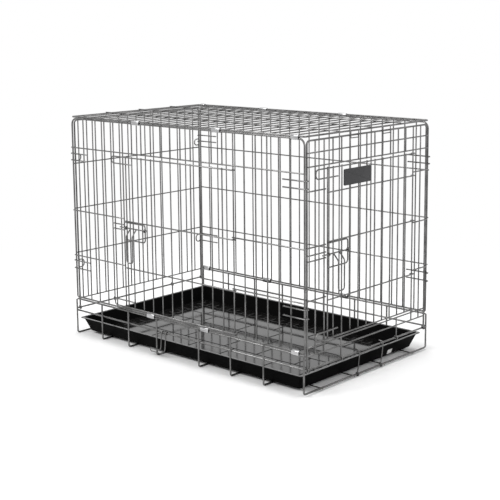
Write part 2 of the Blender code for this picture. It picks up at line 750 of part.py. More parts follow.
def tray():
    """The plastic pan: a flat rim, sloping walls and a floor."""
    width = TRAY_TO - TRAY_FROM
    depth = CRATE_DEPTH - 2 * TRAY_SIDE_GAP
    drop = TRAY_TOP - TRAY_FOOT - TRAY_WALL
    slant = math.hypot(drop, TRAY_SLOPE)
    wall_out = TRAY_WALL * (slant - TRAY_SLOPE) / drop
    pan = bmesh.new()
    middle = Vector((TRAY_FROM + width / 2, CRATE_DEPTH / 2, TRAY_TOP - TRAY_WALL / 2))
    size = Matrix.Diagonal((width, depth, TRAY_WALL, 1))
    bmesh.ops.create_cube(pan, size=1.0, matrix=Matrix.Translation(middle) @ size)
    uprights = [edge for edge in pan.edges if abs(edge.verts[0].co.z - edge.verts[1].co.z) > 1e-6]
    bmesh.ops.bevel(
        pan, geom=uprights, offset=TRAY_CORNER, offset_type="OFFSET", segments=CORNER_STEPS,
        profile=0.5, affect="EDGES", material=-1,
    )
    for facing, rim in ((1, TRAY_RIM), (-1, TRAY_RIM - wall_out)):
        sheet = max(pan.faces, key=lambda face: face.normal.z * facing)
        inset = 0.0
        for further, fall in ((rim, 0.0), (TRAY_SLOPE, drop)):
            sheet = bmesh.ops.extrude_discrete_faces(pan, faces=[sheet])["faces"][0]
            across = 1 - 2 * further / (width - 2 * inset)
            along = 1 - 2 * further / (depth - 2 * inset)
            space = Matrix.Translation(-middle)
            bmesh.ops.scale(pan, vec=(across, along, 1), space=space, verts=sheet.verts[:])
            bmesh.ops.translate(pan, verts=sheet.verts[:], vec=(0, 0, -fall))
            inset += further
        pan.normal_update()
    mesh = bpy.data.meshes.new("tray")
    pan.to_mesh(mesh)
    pan.free()
    return mesh


def hinge_clip(first_x, last_x, profile, closed):
    """A sheet-metal clip: its profile of (y, z) places run along x and given a thickness."""
    strip = bmesh.new()
    points = [strip.verts.new((first_x, y, z)) for y, z in profile]
    edges = [strip.edges.new(pair) for pair in zip(points, points[1:])]
    if closed:
        edges.append(strip.edges.new((points[-1], points[0])))
    made = bmesh.ops.extrude_edge_only(strip, edges=edges)["geom"]
    moved = [item for item in made if isinstance(item, bmesh.types.BMVert)]
    bmesh.ops.translate(strip, verts=moved, vec=(last_x - first_x, 0, 0))
    bmesh.ops.recalc_face_normals(strip, faces=strip.faces)
    mesh = sheet_metal(strip)
    outward = bmesh.new()
    outward.from_mesh(mesh)
    bmesh.ops.recalc_face_normals(outward, faces=outward.faces)
    outward.to_mesh(mesh)
    outward.free()
    return mesh


def sleeve_profile(y, low_z, high_z):
    """A closed loop round two rails, one above the other."""
    back, up = Vector((CLIP_ROUND, 0)), Vector((0, CLIP_ROUND))
    over = arc(Vector((y, high_z)), back, up, 180, CLIP_STEPS)
    under = arc(Vector((y, low_z)), -back, -up, 180, CLIP_STEPS)
    return over + under


def open_profile(y, z):
    """A clip over the top panel's back rail, with a lip down inside the back panel's rail."""
    back, up = Vector((CLIP_ROUND, 0)), Vector((0, CLIP_ROUND))
    over = arc(Vector((y, z)), back, up, 180, CLIP_STEPS)
    return over + [Vector((y - CLIP_ROUND, z - CLIP_LIP))]


def slab_mesh(low, high, corner=0.0):
    """A slab between two corners, with its corners rounded where it has a corner radius."""
    slab = bmesh.new()
    size = Matrix.Diagonal((*(high - low), 1))
    bmesh.ops.create_cube(slab, size=1.0, matrix=Matrix.Translation((low + high) / 2) @ size)
    if corner:
        thin = min(range(3), key=lambda axis: (high - low)[axis])
        edges = []
        for edge in slab.edges:
            run = edge.verts[1].co - edge.verts[0].co
            if abs(run[thin]) > run.length / 2:
                edges.append(edge)
        bmesh.ops.bevel(
            slab, geom=edges, offset=corner, offset_type="OFFSET", segments=CORNER_STEPS,
            profile=0.5, affect="EDGES", material=-1,
        )
    mesh = bpy.data.meshes.new("slab")
    slab.to_mesh(mesh)
    slab.free()
    return mesh


def badge_plate():
    """The blank plate on the end door, with two pegs that reach its backing strip."""
    plate = Wirework()
    low = RIGHT.at(PLATE_ACROSS, PLATE_FOOT, PLATE_INNER)
    high = RIGHT.at(PLATE_ACROSS + PLATE_WIDTH, PLATE_FOOT + PLATE_HEIGHT, PLATE_OUTER)
    plate.add_mesh(slab_mesh(low, high, PLATE_CORNER), 0)
    up = PLATE_FOOT + PLATE_HEIGHT / 2
    wires = [end_y(index) for index in range(END_DOOR_FROM, END_DOOR_TO)]
    inside = [y for y in wires if PLATE_ACROSS + END_PITCH / 2 < y < PLATE_ACROSS + PLATE_WIDTH]
    for first, second in ((inside[0], inside[1]), (inside[-2], inside[-1])):
        across = (first + second) / 2
        inner = DOOR_WIRE_OUT - THIN - REST_GAP + RUNNING_GAP
        outer = PLATE_INNER + PLATE_SHEET / 2
        start, end = RIGHT.at(across, up, inner), RIGHT.at(across, up, outer)
        plate.bar(start, end, PEG_RADIUS, Z_AXIS, layer=1)
    return plate.welded()


def badge_backing():
    """The strip behind the door wires that the plate's pegs hold on to."""
    outer = DOOR_WIRE_OUT - THIN - REST_GAP
    across = PLATE_ACROSS + (PLATE_WIDTH - BACKING_WIDTH) / 2
    up = PLATE_FOOT + (PLATE_HEIGHT - BACKING_HEIGHT) / 2
    low = RIGHT.at(across, up, outer - BACKING_SHEET)
    high = RIGHT.at(across + BACKING_WIDTH, up + BACKING_HEIGHT, outer)
    return slab_mesh(low, high)


def clip_places():
    """Every hinge clip: its name, its ends along x, its profile, whether it closes, its rail."""
    half = CLIP_LENGTH / 2
    corner_to = CRATE_LENGTH - CLIP_CORNER_GAP
    corner = (corner_to - CLIP_CORNER_LENGTH, corner_to)
    front_bottom = [(x - half, x + half) for x in FRONT_BOTTOM_CLIPS] + [corner]
    back_bottom = [(back_x(i) - half, back_x(i) + half) for i in BACK_BOTTOM_CLIPS]
    top = [(front_x(i) - half, front_x(i) + half) for i in FRONT_TOP_CLIPS]
    first = TOP_BORDER_BEND + REST_GAP
    small = (first, first + CLIP_SMALL_LENGTH)
    low = sleeve_profile(0.0, BASE_RAIL_Z, PANEL_Z)
    back_low = sleeve_profile(CRATE_DEPTH, BASE_RAIL_Z, PANEL_Z)
    high = sleeve_profile(0.0, PANEL_Z + PANEL_HEIGHT, PANEL_Z + TOP_Z)
    back_high = open_profile(CRATE_DEPTH, PANEL_Z + TOP_Z)
    rows = (
        ("front_bottom_clip", front_bottom, low, True, "base_frame"),
        ("front_top_clip", top + [corner], high, True, "front_panel"),
        ("back_bottom_clip", back_bottom, back_low, True, "base_frame"),
        ("back_top_clip", [small] + top, back_high, False, "top_panel"),
    )
    for name, places, profile, closed, rail in rows:
        for number, (first_x, last_x) in enumerate(places, 1):
            yield f"{name}_{number}", first_x, last_x, profile, closed, rail


def clear_scene():
    """Empties the scene and makes the crate's own collection."""
    for thing in list(bpy.data.objects):
        bpy.data.objects.remove(thing)
    crate = bpy.data.collections.new("folding_dog_crate")
    bpy.context.scene.collection.children.link(crate)


def main():
    """Models every sub-part and hangs each on what carries it."""
    clear_scene()
    zinc = new_material("zinc_plated_wire", STEEL, 0.28, 1.0)
    bright = new_material("bright_sheet_metal", STEEL, 0.2, 1.0)
    dark = new_material("dark_steel_strip", STEEL_DARK, 0.4, 1.0)
    plastic = new_material("black_plastic", PLASTIC_BLACK, 0.25, 0.0)
    plate = new_material("grey_plate", PLATE_GREY, 0.5, 0.0)

    door_edge = front_x(FRONT_DOOR_FROM) + DOOR_EDGE_GAP
    end_door_edge = end_y(END_DOOR_FROM) + DOOR_EDGE_GAP
    rail_y = LOWER_RAIL_IN - LEG_OUT
    corner = Vector((0, 0, 0))

    parts = {}
    parts["base_frame"] = place_part("base_frame", base_frame(), corner, zinc)
    base = parts["base_frame"]
    place_part("tray", tray(), Vector((TRAY_FROM, 0, TRAY_FOOT)), plastic, base)
    gate_pivot = Vector((CRATE_LENGTH, GATE_PLACES[0], RAISED_FOOT_Z))
    place_part("tray_gate", tray_gate(), gate_pivot, zinc, base)
    hook_pivot = Vector((FOLD_HOOK_ACROSS, rail_y, LOWER_RAIL_Z))
    place_part("fold_hook", fold_hook(), hook_pivot, zinc, base)

    parts["front_panel"] = place_part("front_panel", front_panel(), FRONT.at(0, 0), zinc, base)
    place_part("back_panel", back_panel(), BACK.at(0, 0), zinc, base)
    left_pivot = Vector((0, 0, LEFT_HINGE_Z))
    place_part("left_end_panel", left_end_panel(), left_pivot, zinc, base)
    right_pivot = Vector((CRATE_LENGTH, 0, RIGHT_HINGE_Z))
    right = place_part("right_end_panel", right_end_panel(), right_pivot, zinc, base)
    front = parts["front_panel"]
    parts["top_panel"] = place_part("top_panel", top_panel(), TOP.at(0, 0), zinc, front)

    door_pivot = FRONT.at(front_x(FRONT_DOOR_TO), 0)
    door = place_part("front_door", front_door(), door_pivot, zinc, front)
    bolt_pivot = FRONT.at(door_edge, BOLT_HEIGHT, BOLT_OUT)
    place_part("front_door_bolt", door_bolt(FRONT, door_edge), bolt_pivot, zinc, door)
    end_pivot = RIGHT.at(end_y(END_DOOR_TO), 0)
    second_door = place_part("end_door", end_door(), end_pivot, zinc, right)
    end_bolt_pivot = RIGHT.at(end_door_edge, BOLT_HEIGHT, BOLT_OUT)
    end_bolt = door_bolt(RIGHT, end_door_edge)
    place_part("end_door_bolt", end_bolt, end_bolt_pivot, zinc, second_door)
    place_part("badge_plate", badge_plate(), end_pivot, plate, second_door)
    place_part("badge_backing", badge_backing(), end_pivot, dark, second_door)

    for name, first_x, last_x, profile, closed, rail in clip_places():
        mesh = hinge_clip(first_x, last_x, profile, closed)
        pivot = Vector((first_x, *profile[0]))
        place_part(name, mesh, pivot, bright, parts[rail])


main()
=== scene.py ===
"""Looks of the folding wire dog crate: round zinc-plated wire, bright sheet clips and a black tray.

Design coordinates are those of the CAD: metres, +Z up, X along the crate from its left end,
Y from the front to the back. DESIGN_MIDDLE is where the frame's own origin lies in them.
"""

import logging
import math
from collections.abc import Iterable, Sequence
from dataclasses import dataclass, field
from enum import Enum

import bmesh
import bpy
from mathutils import Matrix, Vector


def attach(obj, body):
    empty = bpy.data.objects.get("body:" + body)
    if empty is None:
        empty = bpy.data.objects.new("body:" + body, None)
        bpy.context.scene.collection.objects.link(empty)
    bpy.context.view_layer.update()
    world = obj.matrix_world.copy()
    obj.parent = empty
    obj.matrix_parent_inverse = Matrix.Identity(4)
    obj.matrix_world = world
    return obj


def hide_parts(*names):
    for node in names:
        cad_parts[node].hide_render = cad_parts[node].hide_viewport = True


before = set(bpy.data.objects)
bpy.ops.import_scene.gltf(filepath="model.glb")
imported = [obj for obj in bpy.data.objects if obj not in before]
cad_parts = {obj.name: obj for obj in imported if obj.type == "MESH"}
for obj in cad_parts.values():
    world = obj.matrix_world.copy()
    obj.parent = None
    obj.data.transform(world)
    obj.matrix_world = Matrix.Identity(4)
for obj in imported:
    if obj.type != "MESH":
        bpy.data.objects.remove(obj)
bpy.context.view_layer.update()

LOG = logging.getLogger("dog_crate")

BMesh = bmesh.types.BMesh
Edges = list[bmesh.types.BMEdge]
Verts = list[bmesh.types.BMVert]
Socket = bpy.types.NodeSocket
Triple = tuple[float, float, float]

X_AXIS = Vector((1, 0, 0))
Y_AXIS = Vector((0, 1, 0))
Z_AXIS = Vector((0, 0, 1))

SAME_PLACE = 1e-6
SHARP_ANGLE = 1.2
FOLD_ANGLES = (0.5, 1.5)
STRAIGHT_ON = 0.9
LOOKS_UP = 0.6
SIDEWAYS = 0.1
STEEP = 0.3
NOISE_MIDDLE = (0.3, 0.7)
SHEET_SMOOTH = 50.0
HAIRPIN_BEND = 0.45


class Stock(Enum):
    """Wire stock of the crate, by radius in metres."""

    THICK = 0.0021
    THIN = 0.0016
    GUIDE = 0.0014
    HOOK = 0.0012


class Body(Enum):
    """CAD bodies that the pieces ride on."""

    BASE = "base"
    FRONT = "front_panel"
    BACK = "back_panel"
    LEFT = "left_end_panel"
    RIGHT = "right_end_panel"
    TOP = "top_panel"
    FRONT_DOOR = "front_door"
    FRONT_BOLT = "front_door_bolt"
    END_DOOR = "end_door"
    END_BOLT = "end_door_bolt"
    TRAY = "tray"
    GATE = "tray_gate"
    HOOK = "fold_hook"


@dataclass(frozen=True)
class CrateSizes:
    """Sizes that more than one sub-assembly needs, as in the CAD source."""

    length: float = 0.760
    depth: float = 0.4555
    panel_height: float = 0.460
    panel_z: float = 0.096
    thick: float = Stock.THICK.value
    thin: float = Stock.THIN.value
    weld_bite: float = 0.0005
    running_gap: float = 0.00035
    rest_gap: float = 0.0003
    leg_out: float = 0.0033
    lower_rail_in: float = 0.0031
    lower_rail_z: float = 0.0603
    right_hinge_z: float = 0.058
    left_hinge_z: float = 0.0664
    base_rail_z: float = 0.0905
    foot_z: float = Stock.THICK.value * math.cos(math.radians(30))
    raised_foot_z: float = 0.0058
    bolt_height: float = 0.205
    catch_reach: float = 0.0055
    catch_turn: float = 0.009
    handle_stand: float = 0.014
    wire_overhang: float = 0.0009
    front_wires: int = 22
    front_first: float = 0.0228
    front_last: float = 0.0382
    back_gaps: int = 23
    end_wires: int = 14
    end_first: float = 0.0346
    end_last: float = 0.0307
    post_inset: float = 0.007
    front_door_span: tuple[int, int] = (5, 16)
    end_door_span: tuple[int, int] = (2, 13)
    door_edge_gap: float = 0.0107
    guide_spacing: float = 0.0676

    @property
    def rail_out(self) -> float:
        """How far a rail stands out from the upright wires that it is welded to."""
        return 2 * self.thin - self.weld_bite

    @property
    def door_rail_out(self) -> float:
        """How far a door's rails stand out, clear of the panel's upright wires."""
        return 2 * self.thin + self.running_gap

    @property
    def door_wire_out(self) -> float:
        """How far a door's upright wires stand out."""
        return self.door_rail_out - self.rail_out

    @property
    def bolt_out(self) -> float:
        """How far a bolt's rod stands out."""
        return self.door_wire_out + 2 * self.thin + self.running_gap

    @property
    def handle_out(self) -> float:
        """How far a bolt's handle stands out."""
        return self.bolt_out + self.handle_stand

    @property
    def wire_end(self) -> float:
        """How far a wire runs past the last wire that it is welded to."""
        return self.thin + self.wire_overhang

    @property
    def top_z(self) -> float:
        """Height of the top panel's border above the panels' bottom rails."""
        return self.panel_height + 2 * self.thick + self.rest_gap

    @property
    def rail_bore(self) -> float:
        """Radius that an eye leaves free round a rail of thick wire."""
        return self.thick + self.running_gap

    def front_x(self, index: float) -> float:
        """Place of upright wire number index along the front, counted from 0 at the left."""
        pitch = (self.length - self.front_first - self.front_last) / (self.front_wires - 1)
        return self.front_first + pitch * index

    def back_x(self, index: float) -> float:
        """Place of upright wire number index along the back, whose first and last are its posts."""
        return self.length * index / self.back_gaps

    def end_y(self, index: float) -> float:
        """Place of upright wire number index along an end panel, counted from 1."""
        pitch = (self.depth - self.end_first - self.end_last) / (self.end_wires - 1)
        return self.end_first + pitch * (index - 1)

    @property
    def front_places(self) -> list[float]:
        """Places of all upright wires along the front."""
        return [self.front_x(index) for index in range(self.front_wires)]

    @property
    def end_places(self) -> list[float]:
        """Places of all upright wires along an end panel."""
        return [self.end_y(index) for index in range(1, self.end_wires + 1)]


SIZES = CrateSizes()
HANDLE_REACH = SIZES.handle_out + SIZES.thin
DESIGN_MIDDLE = Vector(
    (
        0.5 * (SIZES.length + HANDLE_REACH - SIZES.catch_reach - SIZES.thin),
        0.5 * (SIZES.depth + SIZES.leg_out + SIZES.thick - HANDLE_REACH),
        0.0,
    )
)


@dataclass(frozen=True)
class SideFrame:
    """The frame of a flat grille: a corner, and the directions across, up and out."""

    corner: Triple
    across: Vector
    up: Vector
    out: Vector

    def at(self, across: float, up: float, out: float = 0.0) -> Vector:
        """The design point at these three distances from the corner."""
        return Vector(self.corner) + across * self.across + up * self.up + out * self.out


class Face(Enum):
    """The five grilles' frames."""

    FRONT = SideFrame((0, 0, SIZES.panel_z), X_AXIS, Z_AXIS, -Y_AXIS)
    BACK = SideFrame((0, SIZES.depth, SIZES.panel_z), X_AXIS, Z_AXIS, Y_AXIS)
    LEFT = SideFrame((0, 0, SIZES.panel_z), Y_AXIS, Z_AXIS, -X_AXIS)
    RIGHT = SideFrame((SIZES.length, 0, SIZES.panel_z), Y_AXIS, Z_AXIS, X_AXIS)
    TOP = SideFrame((0, 0, SIZES.panel_z + SIZES.top_z), X_AXIS, Y_AXIS, Z_AXIS)


# --------------------------------------------------------------------------- mesh helpers


def only(items: Iterable[object], kind: type) -> list:
    """The items of one kind."""
    return [item for item in items if isinstance(item, kind)]


def aimed(place: Sequence[float], heading: Vector, track: str = "Z") -> Matrix:
    """The matrix that turns an axis along a heading, with its origin at a place."""
    turn = heading.to_track_quat(track, "Y").to_matrix().to_4x4()
    turn.translation = place
    return turn


def posed(place: Vector, *axes: Vector) -> Matrix:
    """The matrix that lays a shape's X, Y and Z along these axes, with its origin at a place."""
    turn = Matrix(axes).transposed().to_4x4()
    turn.translation = place
    return turn


def box(piece: BMesh, middle: Sequence[float], size: Sequence[float]) -> None:
    """Adds a plain block to a mesh."""
    matrix = Matrix.Translation(middle) @ Matrix.Diagonal((*size, 1.0))
    bmesh.ops.create_cube(piece, size=1.0, matrix=matrix)


def edges_along(piece: BMesh, axis: int) -> Edges:
    """The edges whose two ends differ along an axis, which is 0 for X, 1 for Y and 2 for Z."""
    return [
        edge for edge in piece.edges if abs(edge.verts[0].co[axis] - edge.verts[1].co[axis]) > SAME_PLACE
    ]


def sharp_edges(piece: BMesh) -> Edges:
    """The edges at which a mesh turns sharply."""
    return [edge for edge in piece.edges if edge.calc_face_angle(0.0) > SHARP_ANGLE]


def ease(piece: BMesh, edges: Edges, offset: float, segments: int = 2) -> None:
    """Rounds edges."""
    bmesh.ops.bevel(
        piece, geom=edges, offset=offset, offset_type="OFFSET", segments=segments, profile=0.5,
        affect="EDGES", material=-1,
    )


def merge(piece: BMesh, into: BMesh) -> None:
    """Adds a mesh to another one and frees it."""
    carrier = bpy.data.meshes.new("carrier")
    piece.to_mesh(carrier)
    piece.free()
    into.from_mesh(carrier)
    bpy.data.meshes.remove(carrier)


# --------------------------------------------------------------------------- finishes


@dataclass
class NodeBench:
    """Adds and links shader nodes of one tree, from left to right."""

    tree: bpy.types.NodeTree

    def add(self, kind: str, **settings: object) -> bpy.types.Node:
        """A new node with its settings; a socket's value is named as socket_Name."""
        node = self.tree.nodes.new(kind)
        for name, value in settings.items():
            if name.startswith("socket_"):
                node.inputs[name.removeprefix("socket_").replace("_", " ")].default_value = value
            else:
                setattr(node, name, value)
        return node

    def feed(self, node: bpy.types.Node, *sockets: Socket) -> bpy.types.Node:
        """Links sockets to a node's first inputs, in order, and gives the node."""
        for number, socket in enumerate(sockets):
            self.link(socket, node.inputs[number])
        return node

    def link(self, start: Socket, end: Socket) -> None:
        """Joins two sockets."""
        self.tree.links.new(start, end)

    def noise(self, scale: float, detail: float, stretch: Triple = (1, 1, 1)) -> Socket:
        """Noise on Object coordinates, which are stretched first for drawn-out grain."""
        place = self.add("ShaderNodeTexCoord")
        mapping = self.feed(self.add("ShaderNodeMapping", socket_Scale=stretch), place.outputs["Object"])
        noise = self.add("ShaderNodeTexNoise", socket_Scale=scale, socket_Detail=detail)
        return self.feed(noise, mapping.outputs["Vector"]).outputs["Fac"]

    def ramp(self, factor: Socket, *stops: tuple[float, Triple]) -> Socket:
        """A colour ramp of a factor through two stops, each a place and a colour."""
        node = self.add("ShaderNodeValToRGB")
        for element, (position, colour) in zip(node.color_ramp.elements, stops):
            element.position = position
            element.color = (*colour, 1.0)
        return self.feed(node, factor).outputs["Color"]

    def mix(self, factor: Socket, first: Socket, second: Socket) -> Socket:
        """Mixes two colours by a factor."""
        node = self.add("ShaderNodeMix", data_type="RGBA")
        for number, socket in ((0, factor), (6, first), (7, second)):
            self.link(socket, node.inputs[number])
        return node.outputs[2]

    def span(self, factor: Socket, low: float, high: float) -> Socket:
        """Maps a factor's middle range on to low and high."""
        start, stop = NOISE_MIDDLE
        node = self.add(
            "ShaderNodeMapRange", socket_From_Min=start, socket_From_Max=stop, socket_To_Min=low, socket_To_Max=high
        )
        return self.feed(node, factor).outputs["Result"]

    def dress(self, colour: Socket, roughness: Socket, height: Socket, bump: float, depth: float) -> None:
        """Links a colour, a roughness and a bump to the tree's Principled shader.

        Args:
            colour: the base colour.
            roughness: the roughness.
            height: the bump's height.
            bump: the bump's strength.
            depth: how deep the bump is, in metres.
        """
        shader = self.tree.nodes["Principled BSDF"]
        node = self.add("ShaderNodeBump", socket_Strength=bump, socket_Distance=depth)
        self.link(height, node.inputs["Height"])
        for name, socket in (("Base Color", colour), ("Roughness", roughness), ("Normal", node.outputs["Normal"])):
            self.link(socket, shader.inputs[name])


@dataclass(frozen=True)
class Finish:
    """What every finish has: a name, a record slot, metalness and the ends of its roughness."""

    name: str
    slot: str
    metallic: float
    roughness: tuple[float, float]

    def paint(self, bench: NodeBench) -> None:
        """Adds the finish's own nodes."""
        raise NotImplementedError

    def material(self) -> bpy.types.Material:
        """The finish's material, made once and found again by its name."""
        found = bpy.data.materials.get(self.name)
        if found:
            return found
        made = bpy.data.materials.new(self.name)
        made.use_nodes = True
        made.node_tree.nodes["Principled BSDF"].inputs["Metallic"].default_value = self.metallic
        self.paint(NodeBench(made.node_tree))
        return made


@dataclass(frozen=True)
class ZincFinish(Finish):
    """Zinc plating on steel: fine spangle, cloudy patches, duller and darker in places."""

    bright: Triple = (0.195, 0.193, 0.192)
    dull: Triple = (0.088, 0.087, 0.086)
    spot: Triple = (0.035, 0.0345, 0.034)
    grain: float = 700.0
    cloud: float = 38.0
    patch_ratio: float = 2.6
    most_flecks: float = 0.45
    bump: float = 0.35
    depth: float = 0.00004

    def paint(self, bench: NodeBench) -> None:
        """Colour from clouds and spangle, roughness from the clouds, bump from the grain."""
        clouds = bench.noise(self.cloud, 3.0)
        grain = bench.noise(self.grain, 2.0)
        plain = bench.ramp(clouds, (0.32, self.dull), (0.66, self.bright))
        flecked = bench.ramp(grain, (0.30, self.spot), (0.44, self.bright))
        share = bench.span(bench.noise(self.cloud * self.patch_ratio, 2.0), 0.0, self.most_flecks)
        rough = bench.span(clouds, self.roughness[1], self.roughness[0])
        bench.dress(bench.mix(share, plain, flecked), rough, grain, self.bump, self.depth)


@dataclass(frozen=True)
class SheetFinish(Finish):
    """Bright plated sheet with fine rolling lines along the crate."""

    bright: Triple = (0.58, 0.58, 0.585)
    dull: Triple = (0.26, 0.26, 0.265)
    rolling: float = 900.0
    drawn_out: Triple = (0.03, 1, 1)
    stain: float = 70.0
    most_stains: float = 0.5
    bump: float = 0.3
    depth: float = 0.00003

    def paint(self, bench: NodeBench) -> None:
        """Colour and roughness from drawn-out noise, with a light bump."""
        lines = bench.noise(self.rolling, 2.0, self.drawn_out)
        stains = bench.noise(self.stain, 2.0)
        rolled = bench.ramp(lines, (0.35, self.dull), (0.6, self.bright))
        stained = bench.ramp(stains, (0.4, self.dull), (0.7, self.bright))
        colour = bench.mix(bench.span(stains, 0.0, self.most_stains), rolled, stained)
        bench.dress(colour, bench.span(lines, *self.roughness), lines, self.bump, self.depth)


@dataclass(frozen=True)
class PlasticFinish(Finish):
    """Moulded plastic: fine texture, faint cloudy wear and dust in the colour."""

    colour: Triple
    worn: Triple
    specular: float = 0.5
    grain: float = 1500.0
    cloud: float = 14.0
    bump: float = 0.3
    depth: float = 0.00006

    def paint(self, bench: NodeBench) -> None:
        """Colour and roughness from soft clouds, bump from the grain."""
        shader = bench.tree.nodes["Principled BSDF"]
        shader.inputs["Specular IOR Level"].default_value = self.specular
        clouds = bench.noise(self.cloud, 4.0)
        colour = bench.ramp(clouds, (0.35, self.colour), (0.7, self.worn))
        grain = bench.noise(self.grain, 2.0)
        bench.dress(colour, bench.span(clouds, *self.roughness), grain, self.bump, self.depth)


WIRE_FINISH = ZincFinish("zinc_wire_finish", "zinc_wire", 1.0, (0.22, 0.36))
WELD_FINISH = ZincFinish(
    "weld_finish", "zinc_wire", 1.0, (0.35, 0.5), bright=(0.15, 0.149, 0.148), dull=(0.07, 0.07, 0.07)
)
CLIP_FINISH = SheetFinish("clip_sheet_finish", "bright_clip", 1.0, (0.14, 0.3))
STRIP_FINISH = SheetFinish(
    "strip_sheet_finish", "dark_steel", 1.0, (0.3, 0.45), bright=(0.4, 0.4, 0.41), dull=(0.28, 0.28, 0.29)
)
TRAY_FINISH = PlasticFinish(
    "tray_plastic_finish", "black_plastic", 0.0, (0.05, 0.11),
    colour=(0.004, 0.0039, 0.0038), worn=(0.010, 0.0097, 0.0095), depth=0.00001,
)
# Painted shade: a darker, nearly unreflecting copy of the tray plastic for every face but the rim top and slab
# crowns, so walls, slab sides and the floor between slabs come out black.
TRAY_PAINTED_SHADE_FINISH = PlasticFinish(
    "tray_painted_shade_finish", "black_plastic", 0.0, (0.5, 0.65),
    colour=(0.0008, 0.0008, 0.0008), worn=(0.002, 0.002, 0.002), specular=0.02,
)
PLATE_FINISH = PlasticFinish(
    "plate_plastic_finish", "grey_plastic", 0.0, (0.38, 0.52),
    colour=(0.038, 0.038, 0.04), worn=(0.06, 0.06, 0.062), specular=0.25,
)
LABEL_FINISH = PlasticFinish(
    "label_paper_finish", "grey_plastic", 0.0, (0.4, 0.5), colour=(0.66, 0.66, 0.65), worn=(0.74, 0.74, 0.73)
)


# --------------------------------------------------------------------------- wire work


def finished_piece(
    work: BMesh,
    name: str,
    body: Body,
    nodes: Sequence[str],
    finishes: Sequence[Finish],
    smooth_degrees: float = 40.0,
) -> None:
    """Makes a design-frame bmesh a named piece in the row frame, riding on its body.

    Args:
        work: the shape, which is freed.
        name: the piece's name.
        body: the CAD body that it rides on.
        nodes: the CAD nodes that it stands for.
        finishes: the finishes of its material slots.
        smooth_degrees: edges sharper than this stay sharp.
    """
    bmesh.ops.translate(work, verts=work.verts, vec=-DESIGN_MIDDLE)
    mesh = bpy.data.meshes.new(name)
    work.to_mesh(mesh)
    work.free()
    for look in finishes:
        mesh.materials.append(look.material())
    mesh.shade_smooth()
    mesh.set_sharp_from_angle(angle=math.radians(smooth_degrees))
    made = bpy.data.objects.new(name, mesh)
    bpy.context.scene.collection.objects.link(made)
    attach(made, body.value)
    if nodes:
        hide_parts(*nodes)
    LOG.info("%s: %d faces on %s", name, len(mesh.polygons), body.value)


